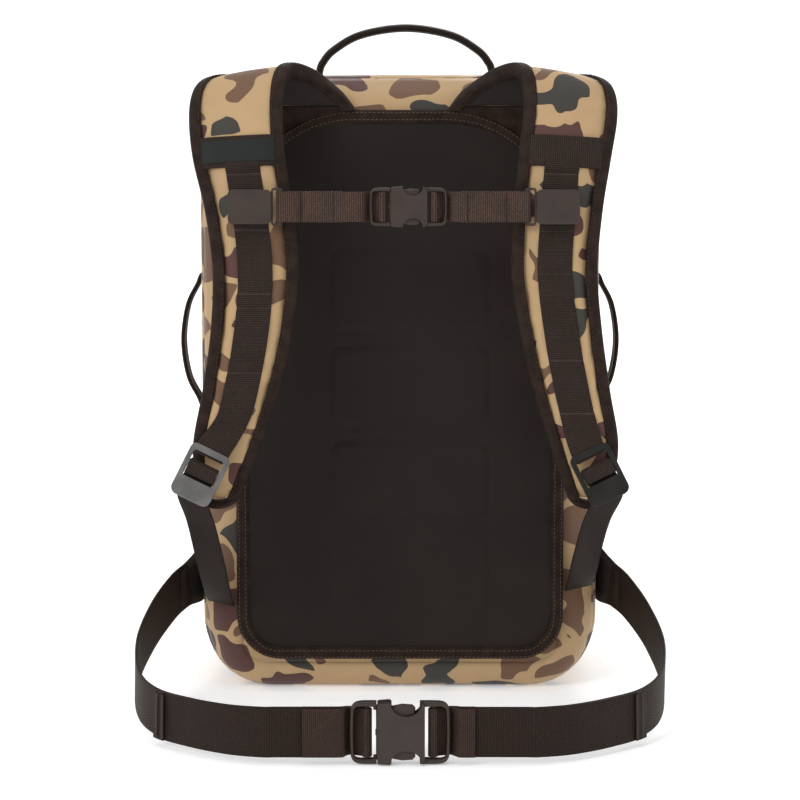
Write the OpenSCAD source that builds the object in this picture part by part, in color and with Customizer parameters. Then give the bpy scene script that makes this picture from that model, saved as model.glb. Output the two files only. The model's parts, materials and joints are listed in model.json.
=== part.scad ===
// Tackle backpack: a soft laminate bag with a zipped front door, a padded shoulder
// harness with a sternum strap, and a webbing hip belt. The harness faces -Y.

/* [Bag] */
// Width across the sides
bag_w = 338; // [330:1:346]
// Height of the bag from its base
bag_h = 520; // [515:1:524]
// Depth from the back wall to the front wall
bag_d = 215; // [205:1:225]
// Radius of the corners seen from the back
bag_corner = 60; // [50:1:70]
// Radius of the long edges round the back and front walls
bag_edge = 38; // [34:1:40]
// Thickness of the laminate wall
wall = 3; // [2:0.5:4]

/* [Back panel] */
// Width of the moulded panel with its binding
panel_w = 276; // [268:1:280]
// Height of the moulded panel with its binding
panel_h = 462; // [452:1:464]
// Height of the panel's lower edge above the floor
panel_z = 28; // [27:1:30]
// Width of the binding tape
binding_w = 11; // [9:1:13]
// Thickness of the moulded foam
panel_t = 5; // [4:0.5:7]

/* [Front door] */
// Width of the door
door_w = 230; // [210:1:236]
// Height of the door
door_h = 428; // [400:1:430]
// Height of the fabric hinge along the door's lower edge
door_z = 43; // [42:1:48]
// Clear gap round the door
door_gap = 0.8; // [0.6:0.1:1.2]

/* [Shoulder straps] */
// Thickness of the padded strap
strap_t = 12; // [10:0.5:14]
// Width of the rolled edge binding
strap_edge = 8; // [6:0.5:10]
// Width of the ladder webbing, cross webbing and sternum webbing
slim_web = 25; // [25:1:25]
// Thickness of one ply of webbing
web_t = 1.8; // [1.4:0.1:2.2]

/* [Sternum strap] */
// Height of the sternum strap
sternum_z = 412; // [408:1:416]
// Distance of the sternum strap in front of the bag's middle
sternum_y = 213.5; // [213:0.5:216]
// Sideways place of the sternum buckle
sternum_buckle_x = 6.5; // [0:0.5:8]
// Travel of the sternum plug out of its socket
sternum_travel = 15; // [10:1:15]

/* [Hip belt] */
// Width of the hip webbing
hip_web = 38; // [38:1:38]
// Height of the middle of the hip buckle
hip_z = 24.5; // [24:0.5:26]
// Distance of the hip buckle in front of the bag's middle
hip_y = 343; // [342:1:344]
// Travel of the hip plug out of its socket
hip_travel = 20; // [14:1:20]

/* [Handles] */
// Distance between the top handle's ends
top_handle_span = 150; // [140:1:160]
// Sideways place of the top handle
top_handle_x = 5; // [0:1:8]
// Rise of the top handle above the bag
top_handle_rise = 47; // [42:1:50]
// Distance between a side handle's ends
side_handle_span = 118; // [110:1:124]
// Height of the middle of the side handles
side_handle_z = 291; // [285:1:297]
// Standoff of the side handles from the bag
side_handle_rise = 22; // [18:1:24]

/* [Hidden] */
$fn = 40;

LEFT = -1;
RIGHT = 1;
camo = "#a98a62";
brown = "#3c302d";
webbing_colour = "#4c3f39";
plastic = "#45403c";
gunmetal = "#5a5856";
black = "#1c1f1f";

back_y = -bag_d / 2;
front_y = bag_d / 2;
side_x = bag_w / 2;
bag_mid_z = bag_h / 2;
panel_mid_z = panel_z + panel_h / 2;
panel_top_r = 100;
panel_bottom_r = 37;
door_mid_z = door_z + door_h / 2;
door_top_r = 48;
door_bottom_r = 10;
door_t = 3;
track_w = 9;
track_t = 2;
skin_gap = 0.3;
hip_ply = 2.2;
ladder_ply = 2;

// Middle line of a shoulder strap from its root at the back panel to its lower end, as
// [left x, right x, y, z, width, roll]; the roll lifts the strap's inner edge.
STRAP = [
    [-80, 83, -113, 491.5, 84, 0], [-88, 91, -117, 501, 82, 2], [-104, 109, -128, 513, 79, 4],
    [-121, 127, -144, 515, 77, 10], [-129, 135, -160, 506, 76, 10], [-131, 136, -173, 485, 75, 7],
    [-128, 131, -186, 451, 73, 3], [-119, 125, -198, 407, 70, 0], [-114, 122, -205, 361, 68, 0],
    [-117, 127, -208, 315, 65, 0], [-126, 136, -207, 267, 61, 0], [-138, 147, -202, 222, 54, 0],
    [-146, 152, -194, 179, 34, 0]
];
strap_rings = 32;
ladder_start = 5.6;
ladder_end = 11.5;
cross_at = 5.95;

// Lower webbing of the left strap, from the adjuster down to the seam of the back panel.
LOWER_LEFT = [
    [-163, -214, 183], [-160, -196, 158], [-156, -165, 124], [-153, -130, 91], [-151.5, -107, 76]
];
LOWER_RIGHT = [
    [162, -214, 183], [158, -196, 160], [154, -165, 131], [152, -132, 103], [151, -107, 89]
];

// Left half of the hip belt, from the bag's side round to the buckle.
HIP = [
    [-182, -82, 88], [-193, -106, 81], [-206, -150, 65], [-213, -200, 46], [-207, -246, 31],
    [-189, -282, 25], [-159, -312, 24], [-129, -333, 24], [-104, -343, 24.5],
    [-92, -343, 24.5], [-40, -343, 24.5]
];
hip_rings = 54;
hip_tail_from = 0.51;

adjuster_size = [34, 44, 3.2];
adjuster_tilt = 26;
adjuster_pitch = 12;
adjuster_at = [158, -222, 201];

hip_buckle = [74, 46, 13];
sternum_buckle = [60, 31, 10.5];

function unit(v) = v / norm(v);
function mirrored(path, side) = [for (p = path) [-side * p.x, p.y, p.z]];

// Point at parameter t on a smooth curve through every row of p.
function spline(p, t) =
    let(
        n = len(p) - 1, i = max(0, min(floor(t), n - 1)), u = t - i,
        a = p[max(i - 1, 0)], b = p[i], c = p[i + 1], d = p[min(i + 2, n)]
    )
    b + 0.5 * u * ((c - a) + u * ((2 * a - 5 * b + 4 * c - d) + u * (3 * (b - c) + d - a)));

// Rounded rectangle as points, k steps a corner, with its own radius at top and bottom.
function plate(w, h, r_top, r_bottom, k = 8) = [
    for (c = [0:3], i = [0:k])
        let(
            a = 90 * (c + i / k), r = c < 2 ? r_top : r_bottom,
            sx = c == 0 || c == 3 ? 1 : -1, sz = c < 2 ? 1 : -1
        )
        [sx * (w / 2 - r) + r * cos(a), sz * (h / 2 - r) + r * sin(a)]
];

// Place, width direction and outward direction at parameter t along a path.
function station(path, across, t) =
    let(
        e = 0.02, at = spline(path, t), n = len(path) - 1,
        along = unit(spline(path, min(t + e, n)) - spline(path, max(t - e, 0))),
        wide = unit(across - along * (across * along))
    )
    [at, wide, cross(along, wide)];

// Ring of 3-D points: a flat section placed at a station.
function ring(s, section) = [for (p = section) s[0] + s[1] * p.x + s[2] * p.y];

function box_section(w, t, lift = 0) = [
    [w / 2, lift + t / 2], [-w / 2, lift + t / 2], [-w / 2, lift - t / 2], [w / 2, lift - t / 2]
];

// Closed solid through rings with the same number of points, capped at both ends.
module loft(rings) {
    n = len(rings[0]);
    last = len(rings) - 1;
    sides = [
        for (i = [0:last - 1], j = [0:n - 1])
            let(a = i * n + j, b = i * n + (j + 1) % n)
            each [[a, a + n, b + n], [a, b + n, b]]
    ];
    caps = [[for (j = [0:n - 1]) j], [for (j = [n - 1:-1:0]) last * n + j]];
    polyhedron([for (r = rings) each r], concat(sides, caps), convexity = 8);
}

// Flat webbing along a path between two fractions of its length.
module band(path, across, w, t, lift = 0, from = 0, to = 1, rings = 24) {
    n = len(path) - 1;
    loft([
        for (i = [0:rings])
            ring(station(path, across, n * (from + (to - from) * i / rings)), box_section(w, t, lift))
    ]);
}

// Upright slab with an outline in the XZ plane, between two depths.
module slab(y0, y1, mid_z, mid_x = 0) {
    translate([mid_x, y1, mid_z]) rotate([90, 0, 0]) linear_extrude(y1 - y0) children();
}

// ---------- bag ----------

function bag_ring(inset, y, t = 0) = [
    for (p = plate(bag_w - 2 * (inset + t), bag_h - 2 * (inset + t), bag_corner - inset - t, bag_corner - inset - t))
        [p.x, y, bag_mid_z + p.y]
];

// Rings round one long edge, from the flat wall (0) to the side (90 degrees).
function edge_rings(y_wall, t, angles) =
    let(r = bag_edge - t, s = sign(y_wall))
    [for (a = angles) bag_ring(r * (1 - sin(a)), y_wall - s * (t + r * (1 - cos(a))), t)];

function opening_ring(y) = [
    for (p = plate(door_w + 2 * door_gap, door_h + 2 * door_gap, door_top_r + door_gap, door_bottom_r + door_gap))
        [p.x, y, door_mid_z + p.y]
];

module bag_shell() {
    out = [0:15:90];
    back = [90:-15:0];
    color(camo) loft(concat(
        edge_rings(back_y, 0, out), edge_rings(front_y, 0, back),
        [opening_ring(front_y), opening_ring(front_y - wall)],
        edge_rings(front_y, wall, out), edge_rings(back_y, wall, back)
    ));
}

module frame_sheet() {
    color("white") slab(back_y + wall + skin_gap, back_y + wall + skin_gap + 2, bag_mid_z)
        polygon(plate(bag_w - 90, bag_h - 90, 30, 30));
}

module base_pad() {
    color(black) translate([0, 0, wall + skin_gap]) linear_extrude(5)
        square([bag_w - 2 * bag_corner - 10, bag_d - 2 * bag_edge - 6], center = true);
}

module slip_pocket() {
    y0 = back_y + wall + 2 * skin_gap + 2;
    color(brown) slab(y0, y0 + 2, 190) polygon(plate(230, 210, 12, 12));
}

// ---------- back panel ----------

module back_panel() {
    inner_w = panel_w - 2 * binding_w;
    inner_h = panel_h - 2 * binding_w;
    y1 = back_y - skin_gap;
    rib_y = y1 - panel_t;
    color(brown) {
        slab(rib_y, y1, panel_mid_z)
            polygon(plate(inner_w, inner_h, panel_top_r - binding_w, panel_bottom_r - binding_w));
        for (z = [130, 215, 300]) slab(rib_y - 1.2, rib_y, z, 10) polygon(plate(120, 60, 10, 10, 4));
    }
}

module panel_binding() {
    color(brown) slab(back_y - panel_t - 2 - skin_gap, back_y - skin_gap, panel_mid_z) difference() {
        polygon(plate(panel_w, panel_h, panel_top_r, panel_bottom_r));
        polygon(plate(
            panel_w - 2 * binding_w, panel_h - 2 * binding_w,
            panel_top_r - binding_w, panel_bottom_r - binding_w
        ));
    }
}

// ---------- front door and zip ----------

function door_outline(grow) =
    plate(door_w + 2 * grow, door_h + 2 * grow, door_top_r + grow, door_bottom_r + max(grow, -5));

module front_door() {
    color(camo) slab(front_y - door_t, front_y, door_mid_z) polygon(door_outline(0));
}

module door_webbing() {
    color(webbing_colour) for (x = [-60, 60])
        slab(front_y, front_y + ladder_ply, door_mid_z, x) square([slim_web, door_h - 90], center = true);
}

// Tape and coil of the zip round the sides and top of the door, open along the hinge.
module zip_track(inner, outer) {
    slab(front_y, front_y + track_t, door_mid_z) difference() {
        polygon(door_outline(outer));
        polygon(door_outline(inner));
        translate([0, -door_h / 2]) square([door_w + 60, 50], center = true);
    }
}

module zip_track_body() {
    color(black) zip_track(door_gap, door_gap + track_w);
}

module zip_track_door() {
    color(black) zip_track(-track_w, 0);
}

slider_at = [door_w / 2 + door_gap + 4.6, front_y + track_t + skin_gap, door_z + 40];
pull_pivot = slider_at + [0, 5.2, 4];

module zip_slider() {
    color(gunmetal) translate(slider_at) {
        slab(0, 2.6, 0) polygon(plate(8.4, 14, 3, 3, 4));
        for (s = [-1, 1]) translate([s * 2.6, 2.6, 4]) difference() {
            translate([-0.7, 0, -3]) cube([1.4, 5.2, 6]);
            translate([-2, 2.6, 0]) rotate([0, 90, 0]) cylinder(h = 4, r = 0.9);
        }
    }
}

module zip_pull() {
    color(black) translate(pull_pivot) {
        translate([-3.4, 0, 0]) rotate([0, 90, 0]) cylinder(h = 6.8, r = 0.8);
        translate([-1.5, -1, -7]) cube([3, 2, 7]);
        slab(-1.4, 1.4, -24) polygon(plate(8, 34, 2.5, 4, 4));
    }
}

// ---------- handles ----------

// Arch of webbing between two ends, in the XZ plane, its width along Y, pinned on two tabs.
handle_lift = 13.5;
function handle_path(span, rise) = [
    [-span / 2 + 3, 0, handle_lift], [-span * 0.44, 0, handle_lift + (rise - handle_lift) * 0.42],
    [-span * 0.26, 0, handle_lift + (rise - handle_lift) * 0.9], [0, 0, rise],
    [span * 0.26, 0, handle_lift + (rise - handle_lift) * 0.9],
    [span * 0.44, 0, handle_lift + (rise - handle_lift) * 0.42], [span / 2 - 3, 0, handle_lift]
];

module handle_loop(span, rise) {
    color(webbing_colour) {
        band(handle_path(span, rise), [0, 1, 0], slim_web, 2.4, rings = 28);
        for (s = [-1, 1]) translate([s * (span / 2 - 3) - 1.2, 0, handle_lift])
            rotate([0, 90, 0]) cylinder(h = 2.4, r = slim_web / 2);
    }
}

module handle_tabs(span) {
    color(webbing_colour) for (s = [-1, 1]) translate([s * (span / 2 + 0.2), 0, 0]) {
        translate([-1, -slim_web / 2, 0]) cube([2, slim_web, handle_lift]);
        translate([-1, 0, handle_lift]) rotate([0, 90, 0]) cylinder(h = 2, r = slim_web / 2);
    }
}

module at_top_handle() {
    translate([top_handle_x, 0, bag_h + skin_gap]) children();
}

module at_side_handle(side) {
    translate([side * (side_x + skin_gap), 0, side_handle_z]) rotate([0, side * 90, 0]) children();
}

module top_handle() {
    at_top_handle() handle_loop(top_handle_span, top_handle_rise);
}

module top_handle_tabs() {
    at_top_handle() handle_tabs(top_handle_span);
}

module side_handle(side) {
    at_side_handle(side) handle_loop(side_handle_span, side_handle_rise);
}

module side_handle_tabs() {
    for (side = [LEFT, RIGHT]) at_side_handle(side) handle_tabs(side_handle_span);
}

// ---------- shoulder straps ----------

function strap_path(side) = [for (s = STRAP) [side == LEFT ? s[0] : s[1], s[2], s[3]]];

// The width direction keeps its roll, so a strap's width is measured level.
function strap_station(side, t) =
    let(
        row = spline(STRAP, t), roll = -side * row[5], wide = [cos(roll), 0, sin(roll)],
        s = station(strap_path(side), wide, t), along = cross(s[1], s[2])
    )
    [s[0], wide, unit(cross(along, wide)), row[4]];

function strap_ts() = [for (i = [0:strap_rings]) (len(STRAP) - 1) * i / strap_rings];

module shoulder_strap(side) {
    color(camo) loft([
        for (t = strap_ts())
            let(s = strap_station(side, t), w = s[3] - 2 * strap_edge)
            ring(s, [for (p = plate(w, strap_t, 1, 1, 1)) p])
    ]);
}

// Half-oval edge roll along one edge of a strap.
module strap_edge_roll(side, edge) {
    loft([
        for (t = strap_ts())
            let(s = strap_station(side, t), x0 = s[3] / 2 - strap_edge + 0.05)
            ring(s, [
                for (i = [0:6])
                    let(a = edge * (30 * i - 90))
                    [edge * (x0 + strap_edge * cos(a)), strap_t / 2 * sin(a)]
            ])
    ]);
}

module strap_binding(side) {
    color(brown) for (edge = [-1, 1]) strap_edge_roll(side, edge);
}

strap_face = strap_t / 2 + skin_gap;

module strap_webbing(side) {
    color(webbing_colour) loft([
        for (i = [0:28])
            let(s = strap_station(side, ladder_start + (ladder_end - ladder_start) * i / 28))
            ring(s, box_section(slim_web, ladder_ply, strap_face + ladder_ply / 2))
    ]);
}

// Webbing across a strap, lying on top of the ladder webbing's upper end.
module across_strap(side, w, h, t, lift) {
    s = strap_station(side, cross_at);
    color(webbing_colour) loft([
        for (v = [-1, 1]) [for (q = [[-1, 0], [1, 0], [1, 1], [-1, 1]])
            s[0] + s[1] * (q.x * w / 2) + s[2] * (lift + t * q.y) + cross(s[1], s[2]) * (v * h / 2)]
    ]);
}

cross_lift = strap_face + ladder_ply + skin_gap;

module cross_webbing(side) {
    across_strap(side, 62, slim_web, web_t, cross_lift);
}

module label_patch() {
    color(black) across_strap(LEFT, 50, 20, 1, cross_lift + web_t + skin_gap);
}

// ---------- adjusters and lower webbing ----------

module at_adjuster(side) {
    translate([side * adjuster_at.x, adjuster_at.y, adjuster_at.z])
        rotate([-adjuster_pitch, 0, 0]) rotate([0, side * -adjuster_tilt, 0]) children();
}

module adjuster(side) {
    w = adjuster_size.x;
    h = adjuster_size.y;
    color(gunmetal) at_adjuster(side) slab(-adjuster_size.z / 2, adjuster_size.z / 2, 0) difference() {
        polygon(plate(w, h, 5, 6, 5));
        translate([0, h * 0.27]) square([w - 8, 7.5], center = true);
        translate([0, -h * 0.03]) square([w - 8, 8], center = true);
    }
}

// Webbing turned over the adjuster's middle bar.
module adjuster_turn(side) {
    bar_z = adjuster_size.y * 0.12;
    color(webbing_colour) at_adjuster(side) difference() {
        translate([-12.2, -3.7, bar_z - 4.6]) cube([24.4, 7.4, 9.2]);
        translate([-13, -2, bar_z - 2.9]) cube([26, 4, 5.8]);
        translate([-13, -4, bar_z - 5]) cube([26, 8, 2.2]);
    }
}

// Webbing from the strap turned round the adjuster's top bar, on which it tilts.
module adjuster_hanger(side) {
    bar_z = adjuster_size.y * 0.427;
    inside = 3.1;
    ply = 1.4;
    color(webbing_colour) at_adjuster(side) difference() {
        translate([-12, -inside - ply, bar_z - inside - ply - 1.6])
            cube([24, 2 * (inside + ply), 14]);
        translate([-13, -inside, bar_z - inside - 1.6]) cube([26, 2 * inside, 20]);
    }
}

module lower_webbing(side) {
    color(webbing_colour)
        band(side == LEFT ? LOWER_LEFT : LOWER_RIGHT, [1, 0, 0.25 * side], 23, 2, rings = 20);
}

// ---------- buckles ----------

// Buckles lie along X with their width along Z; size is [length, height, thickness].
function plug_root_x(size) = -0.235 * size.x;
function ladder_bar_x(size) = -0.36 * size.x;

// Rails and bars that the webbing threads through, on the side of the buckle given by dir.
module ladder_frame(size, web) {
    x0 = -size.x / 2;
    x1 = -0.26 * size.x;
    rail = (size.y * 0.94 - web - 1.2) / 2;
    for (s = [-1, 1]) translate([x0, -size.z * 0.25, s * (web / 2 + 0.6 + rail / 2) - rail / 2])
        cube([x1 - x0, size.z * 0.5, rail]);
    for (x = [x0 + 1.5, ladder_bar_x(size) + 0.5]) translate([x - 1.5, -1.5, -web / 2 - 0.6])
        cube([3, 3, web + 1.2]);
}

module plug(size, web) {
    color(plastic) {
        ladder_frame(size, web);
        slab(-size.z * 0.46, size.z * 0.46, 0, (plug_root_x(size) - 0.275 * size.x) / 2)
            polygon(plate(0.04 * size.x, size.y * 0.96, 0.8, 0.8, 3));
        translate([plug_root_x(size) - 1, -size.z / 2 + 3, -1.8])
            cube([0.33 * size.x + 1, size.z - 6, 3.6]);
    }
}

// Spring arm with its latch button; it turns about the pin at its root.
function prong_pivot(size) = [plug_root_x(size) + 3.4, 0, size.y * 0.22];

module prong(size, up) {
    p = prong_pivot(size);
    tip_x = 0.125 * size.x;
    top = size.y * 0.465;
    mouth = mouth_half(size);
    color(plastic) scale([1, 1, up]) slab(-size.z / 2 + 2.8, size.z / 2 - 2.8, 0) union() {
        translate([p.x, p.z]) circle(r = 2.4);
        polygon([
            [p.x, p.z + 2.4], [p.x, p.z - 2.4], [tip_x - 3, mouth - 5.2], [tip_x, mouth - 4],
            [tip_x, top - 2.5], [tip_x - 2.5, top], [0.02 * size.x, top],
            [-0.075 * size.x, mouth - 0.5]
        ]);
    }
}

function mouth_half(size) = size.y * 0.435;

module socket(size, web) {
    x0 = plug_root_x(size) + 0.5;
    x1 = 0.265 * size.x;
    color(plastic) {
        difference() {
            slab(-size.z / 2, size.z / 2, 0, (x0 + x1) / 2) polygon(plate(x1 - x0, size.y, 5, 5, 5));
            slab(-size.z / 2 + 2, size.z / 2 - 2, 0) polygon([
                [x0 - 1, mouth_half(size)], [x0 - 1, -mouth_half(size)], [x1 - 4, -mouth_half(size)],
                [x1 - 4, mouth_half(size)]
            ]);
            for (s = [-1, 1]) translate([-0.085 * size.x, -size.z / 2 - 1, s * size.y * 0.44 - size.y * 0.1])
                cube([0.225 * size.x, size.z + 2, size.y * 0.2]);
        }
        mirror([1, 0, 0]) ladder_frame(size, web);
    }
}

// Webbing turned round a ladder bar, its two arms lying outside the fixed webbing.
module webbing_turn(size, web, core, reach, ply) {
    bar_x = ladder_bar_x(size) + 0.5;
    inside = core / 2 + skin_gap;
    end_x = bar_x + 2.6 + ply;
    color(webbing_colour) translate([0, 0, -web / 2]) linear_extrude(web) difference() {
        translate([-reach, -inside - ply]) square([end_x + reach, 2 * (inside + ply)]);
        translate([-reach - 1, -inside]) square([end_x - ply + reach + 1, 2 * inside]);
    }
}

// ---------- sternum strap ----------

sternum_core = 3.4;
sternum_ply = 1.2;
sternum_gap_x = sternum_buckle.x / 2 + sternum_travel + 2;
sternum_reach = sternum_gap_x + 10;
socket_reach = sternum_buckle.x / 2 + 12;
block_x = [-118, 124];
block_size = [34, 27, 9];

module at_sternum() {
    translate([sternum_buckle_x, -sternum_y, sternum_z]) children();
}

// Clip block on the ladder webbing, with a slotted loop on its inner side.
module sternum_block(side) {
    x = side == LEFT ? block_x[0] : block_x[1];
    loop_x = x - side * (block_size.x / 2 + 4.4);
    y0 = -sternum_y - block_size.z / 2;
    color(plastic) {
        slab(y0, y0 + block_size.z, sternum_z, x) polygon(plate(block_size.x, block_size.y, 4, 4, 4));
        slab(-sternum_y - 1.5, -sternum_y + 1.5, sternum_z, loop_x) difference() {
            polygon(plate(9, block_size.y + 3, 2.5, 2.5, 3));
            translate([side * 1, 0]) square([4, slim_web + 0.8], center = true);
        }
    }
}

module sternum_webbing(side) {
    x0 = side == LEFT ? block_x[0] + block_size.x / 2 + 10 : sternum_buckle_x + sternum_buckle.x / 2 + 1;
    x1 = side == LEFT ? sternum_buckle_x - sternum_gap_x : block_x[1] - block_size.x / 2 - 10;
    color(webbing_colour) translate([x0, -sternum_y - sternum_core / 2, sternum_z - slim_web / 2])
        cube([x1 - x0, sternum_core, slim_web]);
}

module sternum_turn_left() {
    at_sternum() webbing_turn(sternum_buckle, slim_web, sternum_core, sternum_reach, sternum_ply);
}

module sternum_turn_right() {
    at_sternum() mirror([1, 0, 0])
        webbing_turn(sternum_buckle, slim_web, sternum_core, socket_reach, sternum_ply);
}

// ---------- hip belt ----------

hip_core = 2 * hip_ply + 0.2;
hip_gap_x = hip_buckle.x / 2 + hip_travel + 2;
hip_reach = hip_gap_x + 12;
hip_socket_reach = hip_buckle.x / 2 + 14;

module at_hip() {
    translate([0, -hip_y, hip_z]) children();
}

// Sewn tab that joins the belt to the side of the bag.
module hip_wing(side) {
    color(brown) loft([
        for (p = [[side_x + 0.6, -58, 97, 52], [side_x + 4, -70, 93, 46], [181, -81, 88.5, 40]])
            ring([[side * p[0], p[1], p[2]], [0, 0, 1], [side * 0.8, -0.4, 0]], box_section(p[3], 3.2))
    ]);
}

// Path of the belt with its inner end cut short of the buckle where the plug travels.
function hip_path(side) =
    let(end_x = side == LEFT ? -hip_gap_x : -hip_buckle.x / 2 - 1, n = len(HIP) - 1)
    mirrored([for (i = [0:n]) i < n ? HIP[i] : [end_x, HIP[n].y, HIP[n].z]], side);

module hip_band(side, lift, from = 0) {
    color(webbing_colour) band(
        hip_path(side), [0, 0, 1], hip_web, hip_ply,
        -side * lift, from = from, rings = round(hip_rings * (1 - from))
    );
}

module hip_webbing(side) {
    hip_band(side, -(hip_ply + 0.2) / 2);
}

module hip_tail(side) {
    hip_band(side, (hip_ply + 0.2) / 2, hip_tail_from);
}

module hip_turn_left() {
    at_hip() webbing_turn(hip_buckle, hip_web, hip_core, hip_reach, 1.6);
}

module hip_turn_right() {
    at_hip() mirror([1, 0, 0]) webbing_turn(hip_buckle, hip_web, hip_core, hip_socket_reach, 1.6);
}

bag_shell();
frame_sheet();
base_pad();
slip_pocket();
back_panel();
panel_binding();
front_door();
door_webbing();
zip_track_body();
zip_track_door();
zip_slider();
zip_pull();
top_handle();
top_handle_tabs();
side_handle(LEFT);  // side_handle_left
side_handle(RIGHT);  // side_handle_right
side_handle_tabs();
shoulder_strap(LEFT);  // shoulder_strap_left
shoulder_strap(RIGHT);  // shoulder_strap_right
strap_binding(LEFT);  // strap_binding_left
strap_binding(RIGHT);  // strap_binding_right
strap_webbing(LEFT);  // strap_webbing_left
strap_webbing(RIGHT);  // strap_webbing_right
cross_webbing(LEFT);  // cross_webbing_left
cross_webbing(RIGHT);  // cross_webbing_right
label_patch();
adjuster(LEFT);  // adjuster_left
adjuster(RIGHT);  // adjuster_right
adjuster_turn(LEFT);  // adjuster_turn_left
adjuster_turn(RIGHT);  // adjuster_turn_right
adjuster_hanger(LEFT);  // adjuster_hanger_left
adjuster_hanger(RIGHT);  // adjuster_hanger_right
lower_webbing(LEFT);  // lower_webbing_left
lower_webbing(RIGHT);  // lower_webbing_right
sternum_block(LEFT);  // sternum_block_left
sternum_block(RIGHT);  // sternum_block_right
sternum_webbing(LEFT);  // sternum_webbing_left
sternum_webbing(RIGHT);  // sternum_webbing_right
sternum_turn_left();
sternum_turn_right();
at_sternum() plug(sternum_buckle, slim_web);  // sternum_plug
at_sternum() prong(sternum_buckle, 1);  // sternum_prong_upper
at_sternum() prong(sternum_buckle, -1);  // sternum_prong_lower
at_sternum() socket(sternum_buckle, slim_web);  // sternum_socket
hip_wing(LEFT);  // hip_wing_left
hip_wing(RIGHT);  // hip_wing_right
hip_webbing(LEFT);  // hip_webbing_left
hip_webbing(RIGHT);  // hip_webbing_right
hip_tail(LEFT);  // hip_tail_left
hip_tail(RIGHT);  // hip_tail_right
hip_turn_left();
hip_turn_right();
at_hip() plug(hip_buckle, hip_web);  // hip_plug
at_hip() prong(hip_buckle, 1);  // hip_prong_upper
at_hip() prong(hip_buckle, -1);  // hip_prong_lower
at_hip() socket(hip_buckle, hip_web);  // hip_socket
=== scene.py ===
"""Looks of the tackle backpack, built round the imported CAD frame.

Lengths of the pieces are millimetres, scaled by MM. Camera, lights and textures use metres.
"""

import json
import math
import random

import bmesh
import bpy
from mathutils import Matrix, Vector, noise


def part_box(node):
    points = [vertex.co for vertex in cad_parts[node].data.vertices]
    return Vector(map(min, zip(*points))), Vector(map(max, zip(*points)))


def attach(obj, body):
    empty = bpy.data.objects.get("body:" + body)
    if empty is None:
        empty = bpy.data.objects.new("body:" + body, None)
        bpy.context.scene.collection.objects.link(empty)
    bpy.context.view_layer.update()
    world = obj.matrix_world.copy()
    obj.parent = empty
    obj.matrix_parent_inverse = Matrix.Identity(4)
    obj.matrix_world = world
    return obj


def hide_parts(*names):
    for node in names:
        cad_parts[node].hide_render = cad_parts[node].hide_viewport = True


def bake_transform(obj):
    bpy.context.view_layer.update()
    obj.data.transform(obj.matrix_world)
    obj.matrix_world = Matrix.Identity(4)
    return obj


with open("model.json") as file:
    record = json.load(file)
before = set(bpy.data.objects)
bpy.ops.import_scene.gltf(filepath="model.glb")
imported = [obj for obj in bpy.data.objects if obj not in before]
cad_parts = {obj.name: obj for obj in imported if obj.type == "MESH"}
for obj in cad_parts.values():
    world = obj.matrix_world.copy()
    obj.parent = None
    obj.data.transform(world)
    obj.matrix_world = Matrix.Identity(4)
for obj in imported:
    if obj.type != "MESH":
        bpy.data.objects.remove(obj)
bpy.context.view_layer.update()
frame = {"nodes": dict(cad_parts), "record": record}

MM = 0.001
LEFT, RIGHT = -1, 1
SIDES = {"left": LEFT, "right": RIGHT}
random.seed(7)


# ---------- sizes from the frame ----------

def box_mm(node):
    """Lowest and highest corners of a CAD node, in millimetres."""
    low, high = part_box(node)
    return low / MM, high / MM


bag_low, bag_high = box_mm("bag_shell")
BAG_W = bag_high.x - bag_low.x
BAG_H = bag_high.z - bag_low.z
BACK_Y, FRONT_Y = bag_low.y, bag_high.y
BAG_CORNER = 60
BAG_EDGE = 38
BASE_EDGE = 25
WALL = 3

panel_low, panel_high = box_mm("panel_binding")
PANEL_W = panel_high.x - panel_low.x
PANEL_H = panel_high.z - panel_low.z
PANEL_Z = (panel_high.z + panel_low.z) / 2
PANEL_TOP_R, PANEL_BOTTOM_R = 100, 37
BINDING_W = 11

door_low, door_high = box_mm("front_door")
DOOR_W = door_high.x - door_low.x
DOOR_H = door_high.z - door_low.z
DOOR_Z = (door_high.z + door_low.z) / 2
DOOR_TOP_R, DOOR_BOTTOM_R = 48, 10
DOOR_GAP = 0.8
DAISY_X, DAISY_LENGTH = 60, 338

# Middle line of a strap, the same stations as its CAD solid, in millimetres:
# left x, right x, y, z, width, roll in degrees.
STRAP = [
    (-80, 83, -113, 491.5, 84, 0), (-88, 91, -117, 501, 82, 2), (-104, 109, -128, 513, 79, 4),
    (-121, 127, -144, 515, 77, 10), (-129, 135, -160, 506, 76, 10), (-131, 136, -173, 485, 75, 7),
    (-128, 131, -186, 451, 73, 3), (-119, 125, -198, 407, 70, 0), (-114, 122, -205, 361, 68, 0),
    (-117, 127, -208, 315, 65, 0), (-126, 136, -207, 267, 61, 0), (-138, 147, -202, 222, 54, 0),
    (-146, 152, -194, 179, 34, 0),
]
STRAP_T = 12
STRAP_EDGE = 8
TIP_REACH = 9
# Strap stations of the cross strips, of the ladder webbing's top and of the place where it leaves
# the pad for the adjuster.
CROSS_AT, LADDER_STARTS, LADDER_LEAVES = 5.95, 6.05, 10.3
# Distances down the ladder webbing at which it is sewn to the strap.
LADDER_TACKS = {
    "left": [0, 14, 60, 111, 121, 162, 173, 216, 252],
    "right": [0, 14, 60, 94, 118, 125, 163, 205, 252],
}

# Lower webbing from below the adjuster to the panel seam.
LOWER = {
    LEFT: [(-160, -196, 158), (-156, -165, 124), (-153, -130, 91), (-151.5, -107, 76)],
    RIGHT: [(158, -196, 160), (154, -165, 131), (152, -132, 103), (151, -107, 89)],
}

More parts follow.
